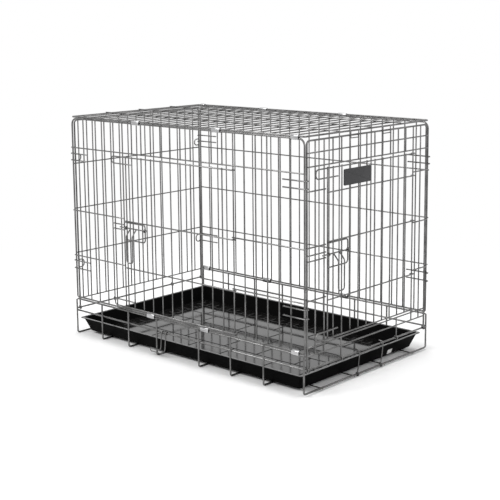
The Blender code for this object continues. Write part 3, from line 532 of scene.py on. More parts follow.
@dataclass
class WireShop:
    """Bends wire with bmesh operators and gathers closed wires in one mesh."""

    sides: int = 12
    bend_steps: int = 6
    eye_steps: int = 22
    eye_degrees: float = 336.0
    burr: float = 0.35
    least_steps: int = 2
    joint_share: float = 0.05
    bead: Triple = (1.25, 1.1, 0.62)
    bead_sides: tuple[int, int] = (8, 5)
    work: BMesh = field(default_factory=bmesh.new)
    weld_spots: BMesh = field(default_factory=bmesh.new)

    def begin(self, centre: Vector, heading: Vector, radius: float) -> tuple[BMesh, Edges]:
        """A new wire's first ring, and its edges."""
        piece = bmesh.new()
        matrix = aimed(centre, heading)
        bmesh.ops.create_circle(piece, cap_ends=False, segments=self.sides, radius=radius, matrix=matrix)
        return piece, piece.edges[:]

    def run(self, piece: BMesh, ring: Edges, move: Vector) -> Edges:
        """Draws the open end of a wire straight on and gives the new open end's edges."""
        if move.length < SAME_PLACE / 10:
            return ring
        made = bmesh.ops.extrude_edge_only(piece, edges=ring)["geom"]
        fresh = only(made, bmesh.types.BMVert)
        bmesh.ops.translate(piece, verts=fresh, vec=move)
        return [edge for edge in only(made, bmesh.types.BMEdge) if set(edge.verts) <= set(fresh)]

    def turn(self, piece: BMesh, ring: Edges, centre: Vector, axis: Vector, angle: float, steps: int) -> Edges:
        """Bends the open end of a wire round an axis and gives the new open end's edges."""
        corners = list(dict.fromkeys(corner for edge in ring for corner in edge.verts))
        made = bmesh.ops.spin(
            piece, geom=corners + ring, cent=centre, axis=axis, angle=angle, steps=steps, use_merge=False
        )["geom_last"]
        return only(made, bmesh.types.BMEdge)

    def close(self, piece: BMesh, rings: Iterable[Edges], radius: float) -> None:
        """Caps a wire's open ends, takes the burr off their edges and gathers the wire."""
        for ring in rings:
            cap = bmesh.ops.contextual_create(piece, geom=ring)["faces"][0]
            ease(piece, list(cap.edges), radius * self.burr)
        bmesh.ops.recalc_face_normals(piece, faces=piece.faces)
        merge(piece, self.work)

    def bent(
        self, corners: Sequence[Vector], radii: Sequence[float], radius: float, closed: bool = False
    ) -> None:
        """A wire through corners, with a round bend at each.

        Args:
            corners: the design points that the wire's middle line turns at; its ends too.
            radii: each corner's bend radius; an end's is not used.
            radius: the wire's own radius.
            closed: whether the last corner joins the first.
        """
        count = len(corners)
        start = (corners[0] + corners[-1]) / 2 if closed else corners[0]
        order = range(count) if closed else range(1, count - 1)
        last = start if closed else corners[-1]
        piece, first = self.begin(start, (corners[0 if closed else 1] - start).normalized(), radius)
        ring, here = first, start
        for index in order:
            corner, after = corners[index], corners[(index + 1) % count]
            back, ahead = (here - corner).normalized(), (after - corner).normalized()
            half = back.angle(ahead) / 2
            reach = radii[index] / math.tan(half)
            ring = self.run(piece, ring, corner + back * reach - here)
            centre = corner + (back + ahead).normalized() * radii[index] / math.sin(half)
            axis, angle = ahead.cross(back).normalized(), math.pi - 2 * half
            steps = max(self.least_steps, round(self.bend_steps * angle / (math.pi / 2)))
            ring = self.turn(piece, ring, centre, axis, angle, steps)
            here = corner + ahead * reach
        ring = self.run(piece, ring, last - here)
        if closed:
            bmesh.ops.remove_doubles(piece, verts=piece.verts, dist=radius * self.joint_share)
        self.close(piece, () if closed else (first, ring), radius)

    def straight(self, start: Vector, end: Vector, radius: float) -> None:
        """A straight cut length of wire."""
        self.bent((start, end), (0.0, 0.0), radius)

    def eye(self, centre: Vector, axis: Vector, bore: float, radius: float, toward: Vector) -> None:
        """A wire end curled round a rail, with the small gap that the bent end leaves.

        Args:
            centre: the middle of the rail.
            axis: the rail's direction.
            bore: the radius left free inside.
            radius: the wire's own radius.
            toward: the side on which the curl starts, where its own wire meets it.
        """
        out = (toward - axis * toward.dot(axis)).normalized()
        piece, first = self.begin(centre + out * (bore + radius), axis.cross(out), radius)
        last = self.turn(piece, first, centre, axis, math.radians(self.eye_degrees), self.eye_steps)
        self.close(piece, (first, last), radius)

    def weld(self, place: Vector, along: Vector, out: Vector, radius: float = SIZES.thin) -> None:
        """The flattened bead where two crossed wires are welded.

        Args:
            place: the point half-way between the two wires' middles.
            along: the direction in which the bead is drawn out.
            out: the direction from one wire to the other.
            radius: the wires' radius.
        """
        piece = bmesh.new()
        size = Matrix.Diagonal((*(radius * share for share in self.bead), 1.0))
        matrix = posed(place, along, out.cross(along).normalized(), out) @ size
        around, over = self.bead_sides
        bmesh.ops.create_uvsphere(piece, u_segments=around, v_segments=over, radius=1.0, matrix=matrix)
        merge(piece, self.weld_spots)

    def piece(self, body: Body, node: str) -> None:
        """Makes the gathered wires and their welds the piece that stands for a CAD node."""
        finishes = [WIRE_FINISH]
        if self.weld_spots.faces:
            for spot in self.weld_spots.faces:
                spot.material_index = 1
            finishes.append(WELD_FINISH)
            merge(self.weld_spots, self.work)
        finished_piece(self.work, node + "_wire", body, [node], finishes)


@dataclass
class Grille:
    """A flat welded grille drawn in the frame of one face of the crate."""

    face: Face
    body: Body
    node: str
    shop: WireShop = field(default_factory=WireShop)

    @property
    def side(self) -> SideFrame:
        """The grille's frame."""
        return self.face.value

    def upright(self, across: float, low: float, high: float, out: float = 0.0) -> None:
        """A wire that runs up the grille."""
        self.shop.straight(self.side.at(across, low, out), self.side.at(across, high, out), SIZES.thin)

    def rail(self, up: float, left: float, right: float, out: float = SIZES.rail_out) -> None:
        """A wire that runs across the grille."""
        self.shop.straight(self.side.at(left, up, out), self.side.at(right, up, out), SIZES.thin)

    def welds(self, up: float, places: Iterable[float], out: float = SIZES.rail_out) -> None:
        """Weld beads along one rail, where it crosses the uprights at these places."""
        for across in places:
            place = self.side.at(across, up, out - SIZES.rail_out / 2)
            self.shop.weld(place, self.side.across, self.side.out)

    def welded_rail(self, up: float, places: Sequence[float]) -> None:
        """A rail that is welded to the uprights at these places and ends just past them."""
        self.rail(up, places[0] - SIZES.wire_end, places[-1] + SIZES.wire_end)
        self.welds(up, places)

    def route(
        self, places: Sequence[Triple], radii: Sequence[float], radius: float = SIZES.thin, closed: bool = False
    ) -> None:
        """A bent wire through (across, up, out) places."""
        self.shop.bent([self.side.at(*place) for place in places], radii, radius, closed)

    def hairpin(self, start: float, tip: float, stop: float, heights: tuple[float, float], out: float = 0.0) -> None:
        """A wire that runs to a tip at the first height and comes back at the second."""
        first, second = heights
        bend = abs(first - second) * HAIRPIN_BEND
        places = ((start, first, out), (tip, first, out), (tip, second, out), (stop, second, out))
        self.route(places, (0.0, bend, bend, 0.0))

    def border(self, width: float, height: float, top_bend: float, bottom_bend: float) -> None:
        """The closed border wire."""
        places = ((0, 0, 0), (0, height, 0), (width, height, 0), (width, 0, 0))
        self.route(places, (bottom_bend, top_bend, top_bend, bottom_bend), SIZES.thick, closed=True)

    def catch_bars(self, heights: Iterable[float]) -> None:
        """Pairs of catch bars at these heights, hooked round past the end panels."""
        out, inner = SIZES.rail_out, SIZES.front_x(1) + SIZES.wire_end
        for up in heights:
            for post, inward in ((0.0, 1), (SIZES.length, -1)):
                tip, last = post - inward * SIZES.catch_reach, post + inward * inner
                places = ((last, up, out), (tip, up, out), (tip, up, out - SIZES.catch_turn))
                self.route(places, (0.0, 2 * SIZES.thin, 0.0))
                self.welds(up, (post, last - inward * SIZES.wire_end))

    def finish(self) -> None:
        """Makes the grille a finished piece."""
        self.shop.piece(self.body, self.node)


# --------------------------------------------------------------------------- panels

PANEL_TOP_BEND = 0.015
PANEL_FOOT_BEND = 0.004
END_TOP_DROP = 0.005


@dataclass
class FrontPanel(Grille):
    """Front grille with the doorway, catch bars and the bolt's keeper."""

    face: Face = Face.FRONT
    body: Body = Body.FRONT
    node: str = "front_panel"
    lintel: float = 0.3872
    rails: tuple[float, ...] = (0.2265, 0.1100)
    keepers: tuple[float, ...] = (0.2113, 0.1987)
    catches: tuple[float, ...] = (0.3716, 0.3549, 0.0958, 0.0760)

    def build(self) -> None:
        """Bends and welds the front grille."""
        first, last = SIZES.front_door_span
        self.border(SIZES.length, SIZES.panel_height, PANEL_TOP_BEND, PANEL_FOOT_BEND)
        places = SIZES.front_places
        for index, across in enumerate(places):
            low = self.lintel - SIZES.wire_end if first < index < last else 0.0
            self.upright(across, low, SIZES.panel_height)
        self.welded_rail(self.lintel, [0.0, *places, SIZES.length])
        for up in self.rails:
            self.welded_rail(up, [0.0, *places[: first + 1]])
            self.welded_rail(up, [*places[last:], SIZES.length])
        for up in self.keepers:
            self.welded_rail(up, places[first - 1 : first + 1])
        self.catch_bars(self.catches)
        self.finish()


@dataclass
class BackPanel(Grille):
    """Back grille with the same catch bars."""

    face: Face = Face.BACK
    body: Body = Body.BACK
    node: str = "back_panel"
    rails: tuple[float, ...] = (0.1163, 0.2310, 0.3458)
    catches: tuple[float, ...] = (0.3780, 0.3613, 0.0958, 0.0760)

    def build(self) -> None:
        """Bends and welds the back grille."""
        self.border(SIZES.length, SIZES.panel_height, PANEL_TOP_BEND, PANEL_FOOT_BEND)
        places = [SIZES.back_x(index) for index in range(SIZES.back_gaps + 1)]
        for across in places[1:-1]:
            self.upright(across, 0.0, SIZES.panel_height)
        for up in self.rails:
            self.welded_rail(up, places)
        self.catch_bars(self.catches)
        self.finish()


@dataclass
class EndPanel(Grille):
    """What both end panels share: posts and top as one wire, struts and eyes."""

    hinge_z: float = SIZES.left_hinge_z
    struts: tuple[int, int] = (4, 11)
    top: float = SIZES.panel_height - END_TOP_DROP
    top_bend: float = 0.008
    near: float = SIZES.post_inset
    far: float = SIZES.depth - SIZES.post_inset

    def frame_wire(self, strut_top: float) -> None:
        """The posts and top in one bent wire, and the struts, each curled round the hinge rail."""
        hinge = self.hinge_z - SIZES.panel_z
        foot = hinge + SIZES.rail_bore + SIZES.thin
        ends = ((self.near, foot), (self.near, self.top), (self.far, self.top), (self.far, foot))
        places = [(across, up, 0.0) for across, up in ends]
        self.route(places, (0.0, self.top_bend, self.top_bend, 0.0), SIZES.thick)
        struts = [SIZES.end_y(index) for index in self.struts]
        for across in struts:
            self.upright(across, foot, strut_top)
        for across in (self.near, *struts, self.far):
            self.shop.eye(self.side.at(across, hinge), Y_AXIS, SIZES.rail_bore, SIZES.thin, Z_AXIS)


@dataclass
class LeftEndPanel(EndPanel):
    """Left grille, which folds inward, with the D-shaped stops that meet the catch bars."""

    face: Face = Face.LEFT
    body: Body = Body.LEFT
    node: str = "left_end_panel"
    rails: tuple[float, ...] = (0.1148, 0.2299, 0.3450)
    sill: float = -0.0053
    stop_heights: tuple[tuple[float, float], ...] = ((0.3686, 0.3519), (0.0958, 0.0760))
    stop_depth: float = 0.017

    def build(self) -> None:
        """Bends and welds the left grille."""
        self.frame_wire(self.top)
        self.rail(self.sill, self.near, self.far, 0.0)
        places = SIZES.end_places
        for index, across in enumerate(places, 1):
            if index not in self.struts:
                self.upright(across, self.sill, self.top)
        for up in self.rails:
            self.welded_rail(up, [self.near, *places, self.far])
        for across, inward in ((self.near, 1), (self.far, -1)):
            for heights in self.stop_heights:
                self.hairpin(across, across + inward * self.stop_depth, across, heights)
        self.finish()


@dataclass
class RightEndPanel(EndPanel):
    """Right grille, with the end doorway and the bolt's keeper."""

    face: Face = Face.RIGHT
    body: Body = Body.RIGHT
    node: str = "right_end_panel"
    hinge_z: float = SIZES.right_hinge_z
    sills: tuple[float, float] = (0.0099, -0.0087)
    lintels: tuple[float, float] = (0.4294, 0.4001)
    rails: tuple[float, ...] = (0.3481, 0.2280, 0.1132)
    keepers: tuple[float, ...] = (0.2113, 0.1987)

    def build(self) -> None:
        """Bends and welds the right grille."""
        self.frame_wire(self.sills[0])
        first, last = SIZES.end_door_span
        for sill in self.sills:
            self.rail(sill, self.near, self.far, 0.0)
        places = SIZES.end_places
        for index, across in enumerate(places, 1):
            low = self.lintels[1] - SIZES.wire_end if first < index < last else self.sills[1]
            self.upright(across, low, self.top)
        for up in self.lintels:
            self.welded_rail(up, [self.near, *places, self.far])
        for up in self.rails:
            self.welded_rail(up, [self.near, *places[:first]])
            self.welded_rail(up, [*places[last - 1 :], self.far])
        for up in self.keepers:
            self.welded_rail(up, [self.near, *places[:first]])
        self.finish()


@dataclass
class TopPanel(Grille):
    """Top grille with two hooks at each end that reach over the end panels."""

    face: Face = Face.TOP
    body: Body = Body.TOP
    node: str = "top_panel"
    bend: float = 0.006
    long_wires: int = 3
    hook_places: tuple[float, ...] = (0.152, 0.270)
    hook_width: float = 0.028
    hook_drop: float = 0.0155

    def build(self) -> None:
        """Bends and welds the top grille."""
        self.border(SIZES.length, SIZES.depth, self.bend, self.bend)
        places = SIZES.front_places
        for across in places:
            self.upright(across, 0.0, SIZES.depth)
        for count in range(1, self.long_wires + 1):
            self.welded_rail(SIZES.depth * count / (self.long_wires + 1), [0.0, *places, SIZES.length])
        wire = Stock.HOOK.value
        for end, outward in ((0.0, -1), (SIZES.length, 1)):
            outer = end + outward * (SIZES.rail_bore + wire)
            for near in self.hook_places:
                half = [(end, near, 0.0), (outer, near, 0.0), (outer, near, -self.hook_drop)]
                other = [(across, up + self.hook_width, out) for across, up, out in reversed(half)]
                self.route(half + other, (0.0, wire, 3 * wire, 3 * wire, wire, 0.0), wire)
        self.finish()


# --------------------------------------------------------------------------- doors


@dataclass
class Door(Grille):
    """A door: rails that curl round the hinge wire, uprights, hairpins and the latch frame."""

    wires: tuple[float, ...] = ()
    edge: float = 0.0
    hinge: float = 0.0
    rails: tuple[float, ...] = ()
    returns: tuple[float, float] = (0.0, 0.0)
    tip: float = 0.0
    return_to: float = 0.0
    foot: float = 0.0018
    guide_foot: float = 0.1756
    top_bar_overlap: float = 0.0002
    frame_bends: tuple[float, float] = (0.006, 0.008)

    @property
    def uprights(self) -> tuple[float, ...]:
        """Places of the door's upright wires, its free edge first."""
        return (self.edge, *self.wires)

    def build(self) -> None:
        """Bends and welds the door."""
        top, bottom = self.rails[0], self.rails[-1]
        out = SIZES.door_rail_out
        for across in self.uprights:
            self.upright(across, bottom - self.foot, top + SIZES.wire_end, SIZES.door_wire_out)
        for up in self.rails:
            place = self.side.at(self.hinge, up)
            self.shop.eye(place, Z_AXIS, SIZES.thin + SIZES.running_gap, SIZES.thin, self.side.out)
            self.welds(up, self.uprights, out)
        for up in self.rails[1:-1]:
            self.rail(up, self.edge - SIZES.wire_end, self.hinge, out)
        for up, back in ((top, self.returns[0]), (bottom, self.returns[1])):
            self.hairpin(self.hinge, self.tip, self.return_to, (up, back), out)
            self.welds(back, [across for across in self.uprights if across < self.return_to], out)
        self.latch_frame()
        self.finish()

    def latch_frame(self) -> None:
        """The two rings that guide the bolt, and the bent wires that carry the second one."""
        wire, bore, out = Stock.GUIDE.value, SIZES.thin + SIZES.running_gap, SIZES.door_rail_out
        guide, left = self.edge + SIZES.guide_spacing, self.edge - SIZES.wire_end
        for across, toward in ((self.edge, -self.side.out), (guide, Z_AXIS)):
            centre = self.side.at(across, SIZES.bolt_height, SIZES.bolt_out)
            self.shop.eye(centre, self.side.across, bore, wire, toward)
        above = min(up for up in self.rails if up > SIZES.bolt_height)
        bars = (above - 2 * SIZES.thin + self.top_bar_overlap, self.guide_foot)
        for up, bend, sign in zip(bars, self.frame_bends, (1, -1)):
            places = ((left, up, out), (guide, up, out), (guide, SIZES.bolt_height + sign * (bore + wire), out))
            self.route(places, (0.0, bend, 0.0))
        self.welds(self.guide_foot, [across for across in self.uprights if across < guide], out)


def front_door() -> Door:
    """The front door's sizes."""
    first, last = SIZES.front_door_span
    return Door(
        Face.FRONT,
        Body.FRONT_DOOR,
        "front_door",
        wires=tuple(SIZES.front_x(index) for index in range(first + 1, last)),
        edge=SIZES.front_x(first) + SIZES.door_edge_gap,
        hinge=SIZES.front_x(last),
        rails=(0.3773, 0.2212, 0.1049, 0.0060),
        returns=(0.3606, 0.0220),
        tip=0.152,
        return_to=SIZES.front_x(first + 1) + SIZES.wire_end,
    )


def end_door() -> Door:
    """The end door's sizes."""
    first, last = SIZES.end_door_span
    return Door(
        Face.RIGHT,
        Body.END_DOOR,
        "end_door",
        wires=tuple(SIZES.end_y(index) for index in range(first + 1, last)),
        edge=SIZES.end_y(first) + SIZES.door_edge_gap,
        hinge=SIZES.end_y(last),
        rails=(0.3918, 0.3397, 0.2324, 0.1041, 0.0179),
        returns=(0.3713, 0.0353),
        tip=0.0323,
        return_to=0.1083,
    )


@dataclass
class Bolt(Grille):
    """A rod through the two guide rings, with the long U handle welded under it."""

    edge: float = 0.0
    nose: float = 0.0112 + SIZES.door_edge_gap
    tail: float = SIZES.guide_spacing + 0.009
    handle_from: float = 0.0161
    handle_width: float = 0.021
    slant_drop: float = 0.016
    handle_drop: float = 0.082
    slant_bend: float = 0.008
    foot_bend: float = 0.007
    bead_size: float = 1.25

    def build(self) -> None:
        """Cuts the rod and bends the handle."""
        up, rod, out = SIZES.bolt_height, SIZES.bolt_out, SIZES.handle_out
        self.rail(up, self.edge - self.nose, self.edge + self.tail, rod)
        near = self.edge + self.handle_from
        half = [(near, up, rod), (near, up - self.slant_drop, out), (near, up - self.handle_drop, out)]
        other = [(across + self.handle_width, height, away) for across, height, away in reversed(half)]
        bends = (0.0, self.slant_bend, self.foot_bend)
        self.route(half + other, bends + bends[::-1])
        for across in (near, near + self.handle_width):
            place = self.side.at(across, up, rod)
            self.shop.weld(place, self.side.across, self.side.out, SIZES.thin * self.bead_size)
        self.finish()


# --------------------------------------------------------------------------- base


@dataclass
class BaseFrame:
    """Leg-and-foot wires, rails and floor wires, welded into one base."""

    legs: tuple[float, ...] = (0.0, 0.0990, 0.1985, 0.3000, 0.4425, 0.5440, 0.6440, 0.760)
    leg_bend: float = 0.005
    floor_wires: tuple[float, ...] = (0.057, 0.171, 0.285, 0.399)
    floor_wire_end: float = 0.004
    front: float = -SIZES.leg_out
    back: float = SIZES.depth + SIZES.leg_out
    shop: WireShop = field(default_factory=WireShop)

    def build(self) -> None:
        """Bends and welds the base; the foot at the right end is raised."""
        top = SIZES.base_rail_z - SIZES.weld_bite
        for place in self.legs:
            foot = SIZES.raised_foot_z if place == SIZES.length else SIZES.foot_z
            turns = ((self.front, top), (self.front, foot), (self.back, foot), (self.back, top))
            corners = [Vector((place, *turn)) for turn in turns]
            self.shop.bent(corners, (0.0, self.leg_bend, self.leg_bend, 0.0), SIZES.thick)
        self.rails()
        self.floor()
        self.shop.piece(Body.BASE, "base_frame")

    def rails(self) -> None:
        """Top rails, lower rails and hinge rails, with their welds on the legs."""
        inset = SIZES.leg_out - SIZES.lower_rail_in
        for depth, inward in ((0.0, 1), (SIZES.depth, -1)):
            for height, place in ((SIZES.base_rail_z, depth), (SIZES.lower_rail_z, depth - inward * inset)):
                start, end = Vector((0, place, height)), Vector((SIZES.length, place, height))
                self.shop.straight(start, end, SIZES.thick)
                for leg in self.legs[1:-1]:
                    middle = Vector((leg, (place + depth - inward * SIZES.leg_out) / 2, height))
                    self.shop.weld(middle, X_AXIS, Y_AXIS, SIZES.thick)
        for across, height in ((0.0, SIZES.left_hinge_z), (SIZES.length, SIZES.right_hinge_z)):
            start, end = Vector((across, self.front, height)), Vector((across, self.back, height))
            self.shop.straight(start, end, SIZES.thick)

    def floor(self) -> None:
        """The wires that the tray lies on, welded on top of the feet."""
        height = SIZES.foot_z + SIZES.thick + SIZES.thin - SIZES.weld_bite
        for depth in self.floor_wires:
            start = Vector((-self.floor_wire_end, depth, height))
            self.shop.straight(start, Vector((SIZES.length + self.floor_wire_end, depth, height)), SIZES.thin)
            for leg in self.legs[:-1]:
                self.shop.weld(Vector((leg, depth, height - SIZES.thin)), X_AXIS, Z_AXIS)


@dataclass
class TrayGate:
    """The wire gate behind which the tray is kept."""

    places: tuple[float, float] = (0.186, 0.275)
    bar_drop: float = 0.004
    hook_reach: float = 0.006
    hook_rise: float = 0.0015
    over_gap: float = 0.0008
    bar_bend: float = 0.004
    top_bend: float = 0.0025
    bead_size: float = 1.25
    shop: WireShop = field(default_factory=WireShop)

    def build(self) -> None:
        """Bends the two uprights and welds the bar across them."""
        wire, base = Stock.GUIDE.value, SIZES.length
        outer = base + SIZES.rail_bore + 2 * wire
        over = SIZES.right_hinge_z + SIZES.thick + self.over_gap + wire
        bar = SIZES.right_hinge_z - self.bar_drop
        foot = SIZES.raised_foot_z + SIZES.rail_bore + wire
        hook = (base - self.hook_reach, over + self.hook_rise)
        for place in self.places:
            centre = Vector((base, place, SIZES.raised_foot_z))
            self.shop.eye(centre, Y_AXIS, SIZES.rail_bore, wire, Z_AXIS)
            turns = ((base, foot), (outer, bar), (outer, over), hook)
            corners = [Vector((across, place, height)) for across, height in turns]
            self.shop.bent(corners, (0.0, self.bar_bend, self.top_bend, 0.0), wire)
            self.shop.weld(corners[1], Y_AXIS, X_AXIS, wire * self.bead_size)
        start, end = self.places[0] - 2 * wire, self.places[1] + 2 * wire
        self.shop.straight(Vector((outer, start, bar)), Vector((outer, end, bar)), wire)
        self.shop.piece(Body.GATE, "tray_gate")


@dataclass
class FoldHook:
    """The doubled wire hook on the front lower rail."""

    across: float = 0.3315
    legs: float = 0.014
    reach: float = 0.051
    bend: float = 0.017
    inner_bend: float = 0.008
    loop: float = 0.0085
    loop_bend: float = 0.0041
    foot: float = 0.0087
    shop: WireShop = field(default_factory=WireShop)

    def build(self) -> None:
        """Bends one wire down, round into a J, back on itself and up again."""
        wire, top = Stock.HOOK.value, SIZES.lower_rail_z
        rail_y = SIZES.lower_rail_in - SIZES.leg_out
        hung = rail_y - SIZES.rail_bore - wire
        clear = -(SIZES.leg_out + SIZES.rail_bore + wire)
        right, left, tip = self.across, self.across - self.legs, self.across - self.reach
        low, high = self.foot, self.foot + self.loop
        turns = (
            (right, hung, top), (right, clear, low), (tip, clear, low),
            (tip, clear, high), (left, clear, high), (left, hung, top),
        )
        radii = (0.0, self.bend, self.loop_bend, self.loop_bend, self.inner_bend, 0.0)
        self.shop.bent([Vector(turn) for turn in turns], radii, wire)
        for place in (left, right):
            self.shop.eye(Vector((place, rail_y, top)), X_AXIS, SIZES.rail_bore, wire, -Y_AXIS)
        self.shop.piece(Body.HOOK, "fold_hook")


# --------------------------------------------------------------------------- tray

COURSE_JOINTS = (
    (0.0, 0.18, 0.40, 0.58, 0.82, 1.0),
    (0.0, 0.11, 0.29, 0.52, 0.70, 0.90, 1.0),
    (0.0, 0.22, 0.43, 0.64, 0.80, 1.0),
)


@dataclass
class Tray:
    """The moulded pan: rolled rim, sloping walls, and a floor embossed with paving slabs."""

    start: float = 0.006
    end: float = 0.7486
    side_gap: float = 0.0005
    top: float = 0.042
    rim: float = 0.0065
    slope: float = 0.013
    corner: float = 0.006
    wall: float = 0.0015
    foot: float = 0.0070213
    slab_rise: float = 0.0009
    slab_gap: float = 0.0028
    slab_corner: float = 0.003
    slab_inset: float = 0.006
    border_depth: float = 0.050
    border_rib: float = 0.027
    courses: int = 5
    edge_share: float = 0.45
    crown_drop: float = 0.35
    crown_inset: float = 0.4

    @property
    def drop(self) -> float:
        """How far the floor lies below the rim."""
        return self.top - self.foot - self.wall

    def pan(self) -> BMesh:
        """The pan as one closed shell, in design coordinates."""
        width, depth = self.end - self.start, SIZES.depth - 2 * self.side_gap
        wall_out = self.wall * (math.hypot(self.drop, self.slope) - self.slope) / self.drop
        pan = bmesh.new()
        middle = Vector((self.start + width / 2, SIZES.depth / 2, self.top - self.wall / 2))
        box(pan, middle, (width, depth, self.wall))
        ease(pan, edges_along(pan, 2), self.corner, segments=8)
        for facing, rim in ((1, self.rim), (-1, self.rim - wall_out)):
            sheet = max(pan.faces, key=lambda face: face.normal.z * facing)
            inset = 0.0
            for further, fall in ((rim, 0.0), (self.slope, self.drop)):
                sheet = bmesh.ops.extrude_discrete_faces(pan, faces=[sheet])["faces"][0]
                shrink = [1 - 2 * further / (side - 2 * inset) for side in (width, depth)]
                space = Matrix.Translation(-middle)
                bmesh.ops.scale(pan, vec=(*shrink, 1), space=space, verts=sheet.verts[:])
                bmesh.ops.translate(pan, verts=sheet.verts[:], vec=(0, 0, -fall))
                inset += further
            pan.normal_update()
        return pan

    def slabs(self) -> BMesh:
        """The raised slabs of the floor: a band of small ones all round, larger ones inside."""
        inset = self.rim + self.slope + self.slab_inset
        low = Vector((self.start + inset, self.side_gap + inset))
        high = Vector((self.end - inset, SIZES.depth - self.side_gap - inset))
        slabs, band = bmesh.new(), self.border_depth
        count = round((high.x - low.x) / self.border_rib)
        pitch = (high.x - low.x) / count
        for index in range(count):
            left = low.x + index * pitch
            for near in (low.y, high.y - band):
                self.slab(slabs, left, left + pitch, near, near + band)
        rows = round((high.y - low.y - 2 * band) / self.border_rib)
        step = (high.y - low.y - 2 * band) / rows
        for index in range(rows):
            near = low.y + band + index * step
            for left in (low.x, high.x - band):
                self.slab(slabs, left, left + band, near, near + step)
        left, right, near = low.x + band, high.x - band, low.y + band
        course = (high.y - band - near) / self.courses
        for row in range(self.courses):
            joints = [left + (right - left) * share for share in COURSE_JOINTS[row % len(COURSE_JOINTS)]]
            for start, stop in zip(joints, joints[1:]):
                self.slab(slabs, start, stop, near + row * course, near + (row + 1) * course)
        return slabs

    def slab(self, slabs: BMesh, left: float, right: float, near: float, far: float) -> None:
        """One raised slab with rounded corners, a soft top edge and a flat crown."""
        piece, floor, rise = bmesh.new(), self.foot + self.wall, self.slab_rise
        size = (right - left - self.slab_gap, far - near - self.slab_gap, 2 * rise)
        box(piece, ((left + right) / 2, (near + far) / 2, floor), size)
        ease(piece, edges_along(piece, 2), self.slab_corner, segments=3)
        crown = [face for face in piece.faces if face.normal.z > STRAIGHT_ON]
        bmesh.ops.inset_region(piece, faces=crown, thickness=rise, use_even_offset=True)
        sides = [corner for face in piece.faces if abs(face.normal.z) < SIDEWAYS for corner in face.verts]
        upper = list(dict.fromkeys(corner for corner in sides if corner.co.z > floor))
        bmesh.ops.translate(piece, verts=upper, vec=(0, 0, -rise * self.crown_drop))
        bmesh.ops.inset_region(piece, faces=crown, thickness=rise * self.crown_inset, use_even_offset=True)
        piece.normal_update()
        # Crowns keep the glossy plastic; the sides take the darker copy, which is painted shade in the grooves
        # between slabs.
        for face in piece.faces:
            face.material_index = int(face.normal.z < LOOKS_UP)
        merge(piece, slabs)

    def build(self) -> None:
        """Moulds the pan, rounds its edges and adds the slabs; only rim and crowns are glossy, all other faces take
        the darker copy as painted shade.
        """
        pan = self.pan()
        least, most = FOLD_ANGLES
        bends = [
            edge
            for edge in pan.edges
            if len(edge.link_faces) == 2 and least < edge.calc_face_angle(0.0) < most and not self.upright(edge)
        ]
        ease(pan, bends, self.wall * self.edge_share)
        pan.normal_update()
        # The rim top keeps the glossy plastic; walls, underside and floor take the darker copy, which is painted
        # shade.
        for face in pan.faces:
            rim = face.normal.z > LOOKS_UP and face.calc_center_median().z > self.top - self.wall
            face.material_index = 0 if rim else 1
        merge(self.slabs(), pan)
        finished_piece(pan, "tray_moulding", Body.TRAY, ["tray"], [TRAY_FINISH, TRAY_PAINTED_SHADE_FINISH], SHEET_SMOOTH)

    @staticmethod
    def upright(edge: bmesh.types.BMEdge) -> bool:
        """Whether an edge runs up the pan's side rather than round it."""
        run = edge.verts[0].co - edge.verts[1].co
        return abs(run.z) > STEEP * run.length


@dataclass
class TrayLabel:
    """The small label on the tray's right wall, left blank."""

    across: float = 0.345
    width: float = 0.018
    height: float = 0.012
    thickness: float = 0.0002
    corner: float = 0.0015
    up: float = 0.0165
    stand: float = 0.0016

    def build(self) -> None:
        """A thin rounded sheet that lies on the sloping wall."""
        tray, sheet = Tray(), bmesh.new()
        box(sheet, (0, 0, 0), (self.width, self.height, self.thickness))
        ease(sheet, edges_along(sheet, 2), self.corner, segments=3)
        lean = math.atan2(tray.slope, tray.drop)
        share = (tray.top - tray.wall - self.up) / tray.drop
        place = Vector((tray.end - tray.rim - tray.slope * share + self.stand, self.across, self.up))
        outward = Vector((math.cos(lean), 0, -math.sin(lean)))
        turn = posed(place, Y_AXIS, outward.cross(Y_AXIS), outward)
        bmesh.ops.transform(sheet, verts=sheet.verts, matrix=turn)
        finished_piece(sheet, "tray_label_blank", Body.TRAY, [], [LABEL_FINISH])


# --------------------------------------------------------------------------- sheet parts


